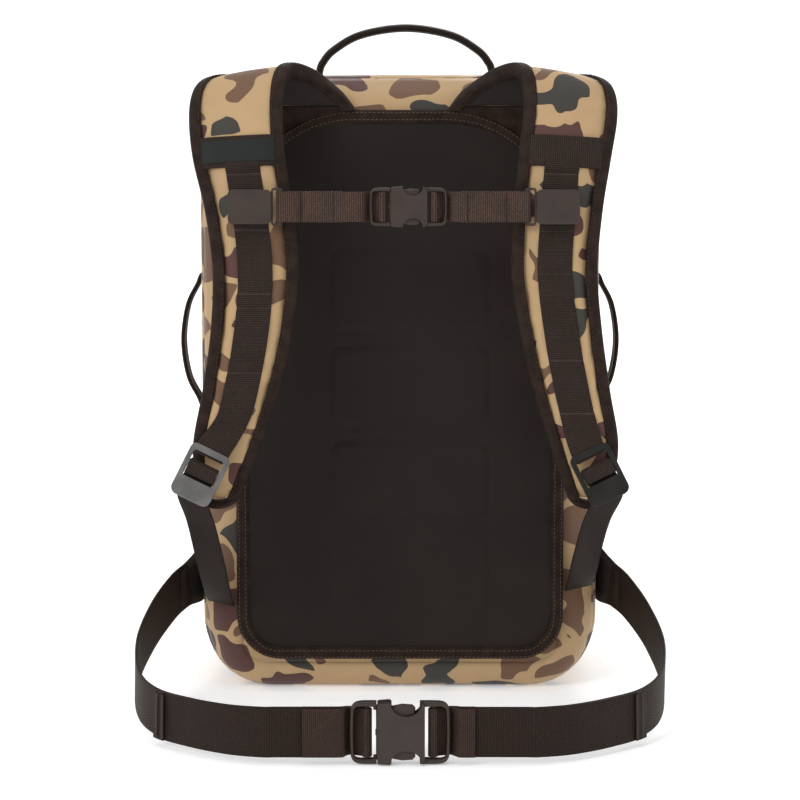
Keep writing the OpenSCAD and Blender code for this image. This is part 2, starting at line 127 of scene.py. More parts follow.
# Hip webbing of the left side, from the wing to the buckle, and the wing's middle line on the
# other side with its widths.
HIP = [
    (-182, -82, 88), (-193, -106, 81), (-206, -150, 65), (-213, -200, 46), (-207, -246, 31),
    (-189, -282, 25), (-159, -312, 24), (-129, -333, 24), (-104, -343, 24.5),
    (-92, -343, 24.5),
]
HIP_WING = [(169.6, -52, 98, 56), (172, -66, 94, 50), (181, -81, 88.5, 41), (188, -96, 84, 39)]


# ---------- curves and meshes ----------

def spline(rows, t):
    """Row at parameter t on a smooth curve through every row."""
    last = len(rows) - 1
    i = max(0, min(int(t), last - 1))
    u = t - i
    a, b, c, d = rows[max(i - 1, 0)], rows[i], rows[i + 1], rows[min(i + 2, last)]
    return [
        q + 0.5 * u * ((r - p) + u * ((2 * p - 5 * q + 4 * r - s) + u * (3 * (q - r) + s - p)))
        for p, q, r, s in zip(a, b, c, d)
    ]


def slope(rows, t, e=0.02):
    """Forward direction at parameter t of the curve through the rows."""
    last = len(rows) - 1
    return (Vector(spline(rows, min(t + e, last))) - Vector(spline(rows, max(t - e, 0)))).normalized()


def route(rows, across, count, start=0.0):
    """Stations (place, wide, out, along) on the curve through the rows, square to a direction."""
    stations = []
    for i in range(count + 1):
        t = (len(rows) - 1) * (start + (1 - start) * i / count)
        along = slope(rows, t)
        wide = Vector(across).normalized()
        wide = (wide - along * along.dot(wide)).normalized()
        stations.append((Vector(spline(rows, t)), wide, along.cross(wide).normalized(), along))
    return stations


def add_object(name, mesh, *materials):
    obj = bpy.data.objects.new(name, mesh)
    bpy.context.scene.collection.objects.link(obj)
    for material in materials:
        mesh.materials.append(material)
    return obj


def build(name, points, faces, *materials, weave=None, smooth=True):
    """Mesh object from points in millimetres; weave gives each point's place on the cloth."""
    mesh = bpy.data.meshes.new(name)
    mesh.from_pydata([Vector(p) * MM for p in points], [], faces)
    mesh.validate()
    if weave:
        attribute = mesh.attributes.new("weave", "FLOAT_VECTOR", "POINT")
        for i, (u, v) in enumerate(weave):
            attribute.data[i].vector = (u, v, 0)
    for polygon in mesh.polygons:
        polygon.use_smooth = smooth
    mesh.update()
    return add_object(name, mesh, *materials)


def ring_faces(count, size, closed=False, capped=True):
    """Faces between rings of the same size, with end caps unless the tube is closed."""
    faces = []
    for i in range(count if closed else count - 1):
        a, b = i * size, (i + 1) % count * size
        for j in range(size):
            k = (j + 1) % size
            faces.append((a + j, b + j, b + k, a + k))
    if capped and not closed:
        faces.append(tuple(range(size)))
        faces.append(tuple((count - 1) * size + j for j in reversed(range(size))))
    return faces


def grid(nx, nz, place):
    """Points and faces of a sheet; place maps the shares across and up it to a point."""
    row = nx + 1
    points = [place(i / nx, j / nz) for j in range(nz + 1) for i in range(row)]
    faces = [
        (j * row + i, j * row + i + 1, (j + 1) * row + i + 1, (j + 1) * row + i)
        for j in range(nz) for i in range(nx)
    ]
    return points, faces


def fix_normals(obj):
    """Turns every face of a closed mesh outward."""
    work = bmesh.new()
    work.from_mesh(obj.data)
    bmesh.ops.recalc_face_normals(work, faces=work.faces)
    work.to_mesh(obj.data)
    work.free()
    return obj


def thicken(obj, thick, lined=0, rim=0):
    """Second skin inside a sheet; lined and rim say which material it and the edges take."""
    solid = obj.modifiers.new("thickness", "SOLIDIFY")
    solid.thickness = thick * MM
    solid.offset = -1
    solid.material_offset = lined
    solid.material_offset_rim = rim


def outline(w, h, r_top, r_bottom, counts=(12, 30, 52)):
    """Rounded rectangle about the origin as (x, z, normal x, normal z).

    The counts are the steps in a corner, along the top and bottom, and up the sides, so two
    outlines of different sizes with the same counts match point for point.
    """
    points = []
    corners = [(1, 1, r_top, 0), (-1, 1, r_top, 90), (-1, -1, r_bottom, 180), (1, -1, r_bottom, 270)]
    arc, *straight = counts
    for n, (sx, sz, r, start) in enumerate(corners):
        cx, cz = sx * (w / 2 - r), sz * (h / 2 - r)
        for i in range(arc + 1):
            a = math.radians(start + 90 * i / arc)
            points.append((cx + r * math.cos(a), cz + r * math.sin(a), math.cos(a), math.sin(a)))
        nx, nz, nr, _ = corners[(n + 1) % 4]
        a = math.radians(start + 90)
        x0, z0 = points[-1][:2]
        x1, z1 = nx * (w / 2 - nr) + nr * math.cos(a), nz * (h / 2 - nr) + nr * math.sin(a)
        pieces = straight[n % 2]
        for i in range(1, pieces):
            s = i / pieces
            points.append((x0 + (x1 - x0) * s, z0 + (z1 - z0) * s, math.cos(a), math.sin(a)))
    return points


def rounded(x, z, w, h, r_top, r_bottom):
    """Moves a point of a rectangle into the rounded rectangle of the same size."""
    r = r_top if z > 0 else r_bottom
    a, b = (abs(x) - w / 2 + r) / r, (abs(z) - h / 2 + r) / r
    if a <= 0 or b <= 0:
        return x, z
    return (
        math.copysign(w / 2 - r + r * a * math.sqrt(1 - b * b / 2), x),
        math.copysign(h / 2 - r + r * b * math.sqrt(1 - a * a / 2), z),
    )


def smoothstep(edge0, edge1, x):
    t = max(0.0, min(1.0, (x - edge0) / (edge1 - edge0)))
    return t * t * (3 - 2 * t)


def soft_noise(place, size, seed=0.0):
    """Smooth noise from -1 to 1 with features of the given size, for places in millimetres."""
    return noise.noise(Vector(place) / size + Vector((seed, seed * 1.7, -seed)))


# ---------- materials ----------

class Shader:
    """A Principled material built from procedural nodes."""

    def __init__(
            self, name, colour, roughness, metallic=0.0, sheen=0.0, specular=0.3):
        self.material = bpy.data.materials.new(name)
        self.material.use_nodes = True
        self.tree = self.material.node_tree
        self.bsdf = self.tree.nodes["Principled BSDF"]
        self.bsdf.inputs["Base Color"].default_value = (*colour, 1)
        self.bsdf.inputs["Roughness"].default_value = roughness
        self.bsdf.inputs["Metallic"].default_value = metallic
        self.bsdf.inputs["Sheen Weight"].default_value = sheen
        self.bsdf.inputs["Specular IOR Level"].default_value = specular

    def node(self, kind, **settings):
        node = self.tree.nodes.new(kind)
        for key, value in settings.items():
            setattr(node, key, value)
        return node

    def feed(self, socket, value):
        if isinstance(value, bpy.types.NodeSocket):
            self.tree.links.new(value, socket)
        elif value is not None:
            socket.default_value = value

    def place(self, scale=(1, 1, 1), offset=(0, 0, 0)):
        """The piece's own coordinates, in metres, stretched and shifted."""
        coords = self.node("ShaderNodeTexCoord").outputs["Object"]
        mapping = self.node("ShaderNodeMapping")
        self.feed(mapping.inputs["Vector"], coords)
        mapping.inputs["Scale"].default_value = scale
        mapping.inputs["Location"].default_value = offset
        return mapping.outputs["Vector"]

    def weave(self):
        """Place on the cloth in millimetres: X across a band and Y along it."""
        node = self.node("ShaderNodeSeparateXYZ")
        self.feed(node.inputs[0], self.node("ShaderNodeAttribute", attribute_name="weave").outputs["Vector"])
        return node.outputs

    def shifted(self, vector, warp, amount):
        """Coordinates pushed about by a noise colour, for outlines that wander."""
        node = self.node("ShaderNodeVectorMath", operation="MULTIPLY_ADD")
        self.feed(node.inputs[0], warp)
        node.inputs[1].default_value = (amount, amount, amount)
        self.feed(node.inputs[2], vector)
        return node.outputs["Vector"]

    def cells(self, vector, scale, feature="F1"):
        node = self.node("ShaderNodeTexVoronoi", feature=feature)
        self.feed(node.inputs["Vector"], vector)
        node.inputs["Scale"].default_value = scale
        node.inputs["Randomness"].default_value = 0.85
        return node.outputs

    def channel(self, colour, name):
        node = self.node("ShaderNodeSeparateColor")
        self.feed(node.inputs[0], colour)
        return node.outputs[name]

    def step(self, value, level):
        return self.math("GREATER_THAN", value, level)

    def noise(self, vector, scale, detail=2.0, roughness=0.5, output="Fac"):
        node = self.node("ShaderNodeTexNoise")
        self.feed(node.inputs["Vector"], vector)
        node.inputs["Scale"].default_value = scale
        node.inputs["Detail"].default_value = detail
        node.inputs["Roughness"].default_value = roughness
        return node.outputs[output]

    def math(self, operation, a, b=None, c=None):
        node = self.node("ShaderNodeMath", operation=operation)
        for socket, value in zip(node.inputs, (a, b, c)):
            self.feed(socket, value)
        return node.outputs[0]

    def ramp(self, value, low, high, out_low=0.0, out_high=1.0):
        node = self.node("ShaderNodeMapRange", interpolation_type="SMOOTHSTEP")
        names = ("Value", "From Min", "From Max", "To Min", "To Max")
        for key, v in zip(names, (value, low, high, out_low, out_high)):
            self.feed(node.inputs[key], v)
        return node.outputs["Result"]

    def mix(self, factor, a, b, blend="MIX"):
        node = self.node("ShaderNodeMix", data_type="RGBA", blend_type=blend)
        self.feed(node.inputs["Factor"], factor)
        for key, value in (("A", a), ("B", b)):
            socket = [s for s in node.inputs if s.name == key and s.type == "RGBA"][0]
            self.feed(socket, (*value, 1) if isinstance(value, tuple) else value)
        return [s for s in node.outputs if s.type == "RGBA"][0]

    def bump(self, height, distance):
        node = self.node("ShaderNodeBump")
        node.inputs["Distance"].default_value = distance
        node.inputs["Strength"].default_value = 1
        self.feed(node.inputs["Height"], height)
        self.feed(self.bsdf.inputs["Normal"], node.outputs["Normal"])
        return self

    def colour(self, value):
        self.feed(self.bsdf.inputs["Base Color"], value)
        return self

    def roughness(self, value):
        self.feed(self.bsdf.inputs["Roughness"], value)
        return self


TAN = (0.47, 0.315, 0.165)
EARTH = (0.145, 0.078, 0.044)
MAROON = (0.085, 0.035, 0.029)
MOSS = (0.040, 0.036, 0.030)
CHOCOLATE = (0.0205, 0.0135, 0.0115)
# Blob print: cells per metre, how far their corners are rounded, and the depth where ink starts.
CAMO_CELLS, CAMO_ROUNDING, CAMO_GAP = 23.0, 0.60, -0.165


def camo(name, seed, weave_bump, roughness, size=1.0):
    """Four-colour blob print on coated cloth: wandering cells of three inks on tan."""
    s = Shader(name, TAN, roughness, sheen=0.05)
    paint = s.mix(s.noise(s.place(), 7, 2), TAN, tuple(c * 0.90 for c in TAN))
    where = s.place(scale=(size, size, 1.12 * size), offset=(seed, seed * 0.7, seed * 0.3))
    slow = s.shifted(where, s.noise(where, 22, 0.0, output="Color"), 0.046)
    bent = s.shifted(slow, s.noise(where, 48, 0.0, output="Color"), 0.024)
    cell = s.cells(bent, CAMO_CELLS)
    edge = s.cells(bent, CAMO_CELLS, "DISTANCE_TO_EDGE")["Distance"]
    depth = s.math("SUBTRACT", edge, s.math("MULTIPLY", cell["Distance"], CAMO_ROUNDING))
    inside = s.ramp(depth, CAMO_GAP - 0.004, CAMO_GAP + 0.004)
    dice = s.channel(cell["Color"], "Red")
    ink = s.mix(s.step(dice, 0.38), EARTH, MAROON)
    ink = s.mix(s.step(dice, 0.68), ink, MOSS)
    inside = s.math("MULTIPLY", inside, s.step(0.94, dice))
    paint = s.mix(inside, paint, ink)
    fade = s.noise(s.place(), 60, 3)
    s.colour(s.mix(0.10, paint, s.mix(fade, (0.0, 0.0, 0.0), (1.0, 0.9, 0.8)), "OVERLAY"))
    s.roughness(s.ramp(fade, 0.3, 0.7, roughness - 0.06, roughness + 0.08))
    grain = s.noise(s.place(), 1400, 1)
    return s.bump(grain, weave_bump).material


def eva_material():
    """Moulded foam with a fine skin, a little paler where hands and backs have rubbed it."""
    s = Shader("moulded_foam", (0.028, 0.021, 0.018), 0.62, specular=0.16)
    wear = s.noise(s.place(), 6, 4, 0.6)
    s.colour(s.mix(s.ramp(wear, 0.35, 0.75), (0.0130, 0.0090, 0.0076), (0.0225, 0.0162, 0.0136)))
    s.roughness(s.ramp(wear, 0.3, 0.7, 0.52, 0.70))
    return s.bump(s.noise(s.place(), 1100, 2, 0.7), 0.00018).material


def webbing_material(name, colour, pale, pitch=3.4, depth=0.00040):
    """Woven nylon: ribs across the band, each a row of small threads whose crests carry a painted highlight
    in the paler colour.
    """
    s = Shader(name, colour, 0.62, specular=0.14)
    weave = s.weave()
    along = s.math("MULTIPLY", weave["Y"], math.tau / pitch)
    ridge = s.math("POWER", s.math("ABSOLUTE", s.math("SINE", along)), 0.6)
    shift = s.math("MULTIPLY", s.math("SIGN", s.math("SINE", along)), math.pi / 2)
    across = s.math("ADD", s.math("MULTIPLY", weave["X"], math.tau / 1.25), shift)
    thread = s.math("ADD", s.math("MULTIPLY", s.math("SINE", across), 0.30), 0.70)
    height = s.math("MULTIPLY", ridge, thread)
    # Painted highlight: the pale colour goes on the raised rib crests, broken up by random flecks and
    # streaks.
    crest_highlight = s.math("MULTIPLY", height, s.ramp(s.noise(s.place(), 420, 2), 0.25, 0.7, 0.75, 1.0))
    streak = s.ramp(s.noise(s.place(), 60, 3), 0.3, 0.7, 0.75, 1.0)
    light = s.math("MULTIPLY", s.ramp(crest_highlight, 0.25, 0.95), streak)
    s.colour(s.mix(light, colour, pale))
    s.roughness(s.ramp(height, 0.0, 1.0, 0.7, 0.42))
    return s.bump(height, depth).material


def tape_material():
    """Ribbed binding tape."""
    s = Shader("binding_tape", CHOCOLATE, 0.64, specular=0.13)
    rib = s.math("SINE", s.math("MULTIPLY", s.weave()["Y"], math.tau / 0.9))
    tone = s.noise(s.place(), 120, 3)
    s.colour(s.mix(s.ramp(tone, 0.3, 0.7), (0.0175, 0.0096, 0.0070), (0.031, 0.0180, 0.0130)))
    return s.bump(rib, 0.00012).material


def plain_material(name, colour, roughness, metallic=0.0, grain=900, depth=0.00006):
    """Moulded or coated surface with a fine grain and slightly uneven gloss."""
    s = Shader(name, colour, roughness, metallic)
    tone = s.noise(s.place(), 45, 4)
    dark, pale = (tuple(c * share for c in colour) for share in (0.86, 1.14))
    s.colour(s.mix(s.ramp(tone, 0.3, 0.7), dark, pale))
    s.roughness(s.ramp(tone, 0.25, 0.75, roughness - 0.07, roughness + 0.07))
    return s.bump(s.noise(s.place(), grain, 2), depth).material


M = {
    "bag": camo("camo_laminate", 0.0, 0.00004, 0.50),
    "gusset": camo("camo_gusset", 4.3, 0.00004, 0.50),
    "strap": camo("camo_strap", 9.2, 0.00010, 0.60, 1.05),
    "foam": eva_material(),
    "tape": tape_material(),
    # Each woven webbing's second colour is the painted highlight on its rib crests.
    "webbing": webbing_material("nylon_webbing", (0.024, 0.0145, 0.0115), (0.150, 0.088, 0.068)),
    "ladder": webbing_material("ladder_webbing", (0.014, 0.0088, 0.0068), (0.060, 0.037, 0.028)),
    "hip_webbing": webbing_material("hip_webbing", (0.0125, 0.0070, 0.0050), (0.044, 0.0255, 0.0180), 3.4),
    "hip_turn": webbing_material("hip_turn_webbing", (0.022, 0.013, 0.0095), (0.080, 0.048, 0.035), 3.0),
    "smooth_webbing": webbing_material(
        "smooth_webbing", (0.0120, 0.0072, 0.0052), (0.0195, 0.0120, 0.0088), 2.4, 0.0001
    ),
    "plastic": plain_material("buckle_plastic", (0.040, 0.0275, 0.0225), 0.40),
    "metal": plain_material("adjuster_metal", (0.19, 0.187, 0.183), 0.32, 0.8),
    # Painted shade: a darker copy of the adjuster metal, used for the right adjuster only.
    "adjuster_metal_shaded_copy": plain_material("adjuster_metal_painted_shade", (0.020, 0.019, 0.018), 0.42, 0.4),
    "webbing_thread": plain_material("webbing_thread", (0.060, 0.040, 0.034), 0.55),
    "coil": plain_material("zip_coil", (0.016, 0.015, 0.014), 0.4),
    "mesh": plain_material("spacer_mesh", (0.0165, 0.0115, 0.0098), 0.8, grain=1100, depth=0.0003),
    "label": plain_material("label_cloth", (0.010, 0.0115, 0.0118), 0.7),
    "thread": plain_material("thread", (0.115, 0.072, 0.047), 0.6),
    "dark_thread": plain_material("dark_thread", (0.040, 0.022, 0.016), 0.55),
    "lining": plain_material("lining_cloth", (0.018, 0.013, 0.011), 0.75, grain=1500, depth=0.0001),
    "zip": plain_material("zip_tape", (0.012, 0.011, 0.0105), 0.6),
    "rubber": plain_material("pull_rubber", (0.015, 0.014, 0.0135), 0.65),
    "sheet": plain_material("frame_sheet_plastic", (0.60, 0.60, 0.57), 0.5),
}
BY_SLOT = {
    "camo_laminate": "bag", "camo_strap": "strap", "moulded_panel": "foam", "binding_tape": "tape",
    "webbing": "webbing", "handle_webbing": "webbing", "wing_fabric": "lining",
    "buckle_plastic": "plastic", "adjuster_metal": "metal", "label": "label", "zip_tape": "zip",
    "zip_metal": "metal", "rubber_pull": "rubber", "frame_sheet": "sheet", "foam": "rubber",
    "lining": "lining",
}

SLOT_OF = {row["node"]: row["material_slot"] for row in frame["record"]["subparts"]}
BODY_OF = {n: body for body, names in frame["record"]["behaviour"]["bodies"].items() for n in names}
for node_name, node_object in frame["nodes"].items():
    node_object.data.materials.clear()
    node_object.data.materials.append(M[BY_SLOT[SLOT_OF[node_name]]])


def stands_for(obj, *nodes, body=None, slot=None):
    """Puts a piece on its CAD node's body in place of that node, or adds one to a named body."""
    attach(obj, body or BODY_OF[nodes[0]])
    if nodes and body is None:
        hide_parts(*nodes)
    return obj


# ---------- camera, floor and light ----------

def add_camera():
    camera = bpy.data.objects.new("camera", bpy.data.cameras.new("camera"))
    bpy.context.scene.collection.objects.link(camera)
    camera.location = (0, -1.977, 0.445)
    camera.rotation_euler = (math.radians(90 - 6), 0, 0)
    camera.data.lens = 100.8
    camera.data.sensor_width = 36
    bpy.context.scene.camera = camera


def add_light(name, place, target, size, power, colour=(1, 1, 1)):
    light = bpy.data.objects.new(name, bpy.data.lights.new(name, "AREA"))
    bpy.context.scene.collection.objects.link(light)
    light.location = place
    light.rotation_euler = (Vector(target) - Vector(place)).to_track_quat("-Z", "Y").to_euler()
    light.data.size = size
    light.data.energy = power
    light.data.color = colour


def add_stage():
    paint = Shader("floor_paint", (0.90, 0.90, 0.90), 0.9)
    paint.bsdf.inputs["Emission Color"].default_value = (1, 1, 1, 1)
    paint.bsdf.inputs["Emission Strength"].default_value = 0.32
    half, bend, top = 9000, 1500, 7000
    rows = [(-half, 0), (bend, 0)]
    rows += [(bend + bend * math.sin(a), bend - bend * math.cos(a)) for a in (0.26 * k for k in range(1, 7))]
    rows.append((2 * bend, top))
    points = [(x, y, z) for y, z in rows for x in (-half, half)]
    faces = [(2 * i, 2 * i + 1, 2 * i + 3, 2 * i + 2) for i in range(len(rows) - 1)]
    floor = build("studio_floor", points, faces, paint.material)
    world = bpy.data.worlds.new("studio")
    world.use_nodes = True
    sky = world.node_tree.nodes["Background"].inputs
    sky["Color"].default_value = (1, 1, 1, 1)
    sky["Strength"].default_value = 0.60
    bpy.context.scene.world = world
    bpy.context.scene.view_settings.view_transform = "Standard"
    add_light("key", (-1.7, -2.3, 1.9), (0, 0, 0.25), 1.0, 30)
    add_light("fill", (2.2, -1.6, 1.0), (0, 0, 0.25), 1.6, 5)
    add_light("top", (0.0, -0.3, 2.6), (0, 0, 0.2), 1.6, 14)
    add_light("rim", (0.4, 2.2, 1.6), (0, 0, 0.3), 1.4, 20)


add_camera()
add_stage()


# ---------- bag ----------

# Angle round the long edge where the back skin is sewn to the gusset, and the height from which
# the laminate swells.
SEAM_ANGLE, SOFT_FROM = 66, 12


def bag_ring(y_wall, angle, inset=0.0):
    """Ring of the bag's skin at an angle round its long edge: 0 is the flat wall, 90 the side."""
    sign = math.copysign(1, y_wall)
    sin, cos = math.sin(math.radians(angle)), math.cos(math.radians(angle))
    points = []
    for x, z, nx, nz in outline(BAG_W, BAG_H, BAG_CORNER, BAG_CORNER):
        radius = BAG_EDGE + (BASE_EDGE - BAG_EDGE) * smoothstep(0.2, 0.9, -nz)
        pull = (radius - inset) * (1 - sin) + inset
        y = y_wall - sign * (inset + (radius - inset) * (1 - cos))
        points.append(Vector((x - nx * pull, y, BAG_H / 2 + z - nz * pull)))
    return points


def bag_opening(y, grow):
    """Ring round the door opening with the same number of points as a bag ring."""
    w, h = DOOR_W + 2 * grow, DOOR_H + 2 * grow
    loop = outline(w, h, DOOR_TOP_R + grow, DOOR_BOTTOM_R + grow)
    return [Vector((x, y, DOOR_Z + z)) for x, z, _, _ in loop]


def soften(rings, amount=0.6):
    """Slow sideways swells, as filled laminate has, that start just above the base."""
    for ring in rings:
        for p in ring:
            if p.z > SOFT_FROM:
                away = Vector((p.x, 0, p.z)) - Vector((0, 0, BAG_H / 2))
                p += away.normalized() * (soft_noise(p, 120, 3.0) * amount)
    return rings


def bag_piece(name, rings, material):
    """Open band of skin through rings, closed into a thin solid by a second skin inside."""
    points = [p for ring in rings for p in ring]
    faces = ring_faces(len(rings), len(rings[0]), capped=False)
    obj = build(name, points, faces, M[material], M["lining"])
    thicken(obj, WALL, 1, 1)
    return obj


def make_bag():
    back_angles = [0, 12, 24, 36, 48, 58, SEAM_ANGLE]
    side_angles = [SEAM_ANGLE, 74, 82, 90]
    back = soften([bag_ring(BACK_Y, a) for a in back_angles])
    side = bag_ring(BACK_Y, 90)
    depth = FRONT_Y - BACK_Y - 2 * BAG_EDGE
    gusset = [bag_ring(BACK_Y, a) for a in side_angles]
    gusset += [[Vector((p.x, BACK_Y + BAG_EDGE + depth * i / 12, p.z)) for p in side] for i in range(1, 12)]
    gusset += [bag_ring(FRONT_Y, a) for a in reversed(side_angles)]
    front = soften([bag_ring(FRONT_Y, a) for a in reversed(back_angles)])
    front += [bag_opening(FRONT_Y, DOOR_GAP + 6), bag_opening(FRONT_Y, DOOR_GAP)]
    stands_for(bag_piece("bag_back_skin", back, "bag"), "bag_shell")
    others = [
        bag_piece("bag_gusset", soften(gusset), "gusset"),
        bag_piece("bag_front_skin", front, "bag"),
        fix_normals(build(
            "bag_back_wall", back[0] + [p + Vector((0, WALL, 0)) for p in back[0]],
            ring_faces(2, len(back[0])), M["bag"]
        )),
    ]
    for obj in others:
        stands_for(obj, body="pack", slot="camo_laminate")


make_bag()


# ---------- back panel ----------

PANEL_FACE = BACK_Y - 5.3
# Plain blocks pressed in the panel: x of their middles, width, height, and how far each middle
# lies above the panel's middle.
CHANNEL_X, CHANNEL_W, CHANNEL_H = 8, 128, 62
CHANNEL_ROWS = (-158, -78, 2, 82)


def rounded_distance(x, z, w, h, r):
    """Signed distance to a rounded rectangle about the origin, negative inside."""
    qx, qz = abs(x) - w / 2 + r, abs(z) - h / 2 + r
    return math.hypot(max(qx, 0), max(qz, 0)) + min(max(qx, qz), 0) - r


def panel_relief(x, z):
    """Height of the foam face: a slow crown, plain blocks pressed a little proud, soft rim."""
    inner_w, inner_h = PANEL_W - 2 * BINDING_W, PANEL_H - 2 * BINDING_W
    edge = -rounded_distance(x, z, inner_w, inner_h, 35)
    height = 1.6 * smoothstep(-2, 26, edge) - 1.2 * (1 - smoothstep(-6, 4, edge))
    for row in CHANNEL_ROWS:
        d = rounded_distance(x - CHANNEL_X, z - row, CHANNEL_W, CHANNEL_H, 9)
        height += 1.3 * (1 - smoothstep(-1.5, 2.0, d))
        height -= 0.5 * math.exp(-((d - 3.2) / 1.6) ** 2)
    swell_x = 1.1 * math.cos(2 * math.pi * (abs(x) - 70) / 150) * smoothstep(0, 40, edge)
    return height + swell_x + 0.25 * soft_noise((x, 0, z), 90, 1.0)


def make_panel():
    tuck = 4
    w, h = PANEL_W - 2 * tuck, PANEL_H - 2 * tuck
    nx, nz = 112, 190
    row = nx + 1

    def place(u, v):
        x, z = rounded(w * (u - 0.5), h * (v - 0.5), w, h, PANEL_TOP_R - tuck, PANEL_BOTTOM_R - tuck)
        return x, PANEL_FACE - panel_relief(x, z), PANEL_Z + z

    points, faces = grid(nx, nz, place)
    rim = list(range(row)) + [j * row + nx for j in range(1, nz + 1)]
    rim += [nz * row + i for i in range(nx - 1, -1, -1)] + [j * row for j in range(nz - 1, 0, -1)]
    base, count = len(points), len(rim)
    points += [(points[i][0], BACK_Y - 0.3, points[i][2]) for i in rim]
    faces += [(rim[k], base + k, base + (k + 1) % count, rim[(k + 1) % count]) for k in range(count)]
    faces.append(tuple(base + k for k in range(count)))
    obj = fix_normals(build("back_pad", points, faces, M["foam"]))
    stands_for(obj, "back_panel")


def make_stitches(name, places, body, length, radius, material="thread", slot="binding_tape"):
    """Short raised threads; places are (centre, along, out) in millimetres."""
    points, faces = [], []
    sides, profile = 6, [(-0.5, 0.35), (-0.42, 0.8), (-0.2, 1.0), (0.2, 1.0), (0.42, 0.8), (0.5, 0.35)]
    for centre, along, out in places:
        cross = along.cross(out).normalized()
        base = len(points)
        for share, girth in profile:
            for k in range(sides):
                a = math.tau * k / sides
                points.append(
                    centre + along * (share * length)
                    + (cross * math.cos(a) + out * math.sin(a)) * radius * girth
                )
        faces += [tuple(base + n for n in face) for face in ring_faces(len(profile), sides)]
    stands_for(fix_normals(build(name, points, faces, M[material])), body=body, slot=slot)


def binding_height(n):
    """Height of the binding tape over the bag wall, n from -1 at its outer edge to 1 inside."""
    outer = 7.2 * math.sqrt(max(0.0, 1 - max(0.0, -n - 0.55) ** 2 / 0.45 ** 2))
    return outer * (1 - 0.22 * smoothstep(0.55, 1.0, n)) + 0.25 * math.sin(n * 5)


# Distance between stitches, and where across the binding their two rows run.
STITCH_PITCH = 3.6
STITCH_ROWS = (-0.55, 0.45)


def make_binding():
    half = BINDING_W / 2
    loop = outline(
        PANEL_W - BINDING_W, PANEL_H - BINDING_W, PANEL_TOP_R - half, PANEL_BOTTOM_R - half, (16, 42, 90)
    )
    across = [-1.0, -0.93, -0.8, -0.6, -0.3, 0.0, 0.3, 0.6, 0.85, 1.0]
    section = [(-1.0, 0.4)] + [(n, binding_height(n)) for n in across] + [(1.0, 0.4)]
    points, weave, run = [], [], 0.0
    for k, (x, z, nx, nz) in enumerate(loop):
        run += math.hypot(x - loop[k - 1][0], z - loop[k - 1][1]) if k else 0.0
        for n, high in section:
            y = BACK_Y - high - 0.25 * soft_noise((x, high, z), 14, 5.0)
            points.append((x - nx * n * half, y, PANEL_Z + z - nz * n * half))
            weave.append((n * half, run))
    faces = ring_faces(len(loop), len(section), closed=True)
    tape = fix_normals(build("panel_binding_tape", points, faces, M["tape"], weave=weave))
    stands_for(tape, "panel_binding")
    places = []
    for n in STITCH_ROWS:
        inset = half * (1 + n)
        path = outline(
            PANEL_W - 2 * inset, PANEL_H - 2 * inset,
            PANEL_TOP_R - inset, PANEL_BOTTOM_R - inset, (40, 80, 160)
        )
        y = BACK_Y - binding_height(n) - 0.1
        run, due = 0.0, 0.0
        for k, (x, z, nx, nz) in enumerate(path):
            x0, z0 = path[k - 1][:2]
            step = math.hypot(x - x0, z - z0) if k else 0.0
            while k and due <= run + step:
                share = (due - run) / step
                wander = 0.25 * random.uniform(-1, 1)
                centre = Vector((
                    x0 + (x - x0) * share + nx * wander, y, PANEL_Z + z0 + (z - z0) * share + nz * wander
                ))
                places.append((centre, Vector((-nz, 0, nx)), Vector((0, -1, 0))))
                due += STITCH_PITCH
            run += step
    make_stitches("panel_stitches", places, "pack", 2.2, 0.3)


make_panel()
make_binding()

# ---------- bands, loops and moulded parts ----------

def band_section(w, t, cells=8):
    """Flat section with softened edges, as (across, out) pairs going round once."""
    e = min(t / 2, 0.9)
    half = w / 2
    xs = [-half + e + (w - 2 * e) * i / cells for i in range(cells + 1)]
    top = [(x, t / 2) for x in xs]
    bottom = [(x, -t / 2) for x in reversed(xs)]
    right = [(half - e * 0.3, t / 2 * 0.72), (half, 0), (half - e * 0.3, -t / 2 * 0.72)]
    left = [(-half + e * 0.3, -t / 2 * 0.72), (-half, 0), (-half + e * 0.3, t / 2 * 0.72)]
    return top + right + bottom + left


def band(name, stations, w, t, material, lift=None, cells=8):
    """Webbing through stations (place, wide, out, along); lift(run, across) raises it off them."""
    section = band_section(w, t, cells)
    points, weave, run = [], [], 0.0
    for i, (at, wide, out, _) in enumerate(stations):
        run += (at - stations[i - 1][0]).length if i else 0.0
        for x, y in section:
            high = lift(run, x / w * 2) if lift else 0.0
            points.append(at + wide * x + out * (y + high))
            weave.append((x, run))
    faces = ring_faces(len(stations), len(section))
    return fix_normals(build(name, points, faces, M[material], weave=weave))


def polyline(points, wide):
    """Stations along straight-line points that lie in one plane, square to a fixed width."""
    stations = []
    wide = Vector(wide).normalized()
    points = [Vector(p) for p in points]
    for i, p in enumerate(points):
        along = (points[min(i + 1, len(points) - 1)] - points[max(i - 1, 0)]).normalized()
        stations.append((p, wide, along.cross(wide).normalized(), along))
    return stations


def u_path(radius, leg_a, leg_b):
    """U in a plane: down a leg, round a half circle about the origin, and up the other."""
    points = [(-radius, leg_a * (1 - i / 4)) for i in range(4)]
    points += [(-radius * math.cos(a), -radius * math.sin(a)) for a in (math.pi * i / 10 for i in range(11))]
    points += [(radius, leg_b * i / 4) for i in range(1, 5)]
    return points


def islands(work):
    """Groups of vertices that edges join."""
    seen, groups = set(), []
    for start in work.verts:
        if start in seen:
            continue
        group, todo = [], [start]
        seen.add(start)
        while todo:
            v = todo.pop()
            group.append(v)
            for edge in v.link_edges:
                other = edge.other_vert(v)
                if other not in seen:
                    seen.add(other)
                    todo.append(other)
        groups.append(group)
    return groups


def rounded_edges(work, edges, width):
    bmesh.ops.bevel(
        work, geom=edges, offset=width, offset_type="OFFSET", segments=3, profile=0.5, affect="EDGES",
        clamp_overlap=True
    )


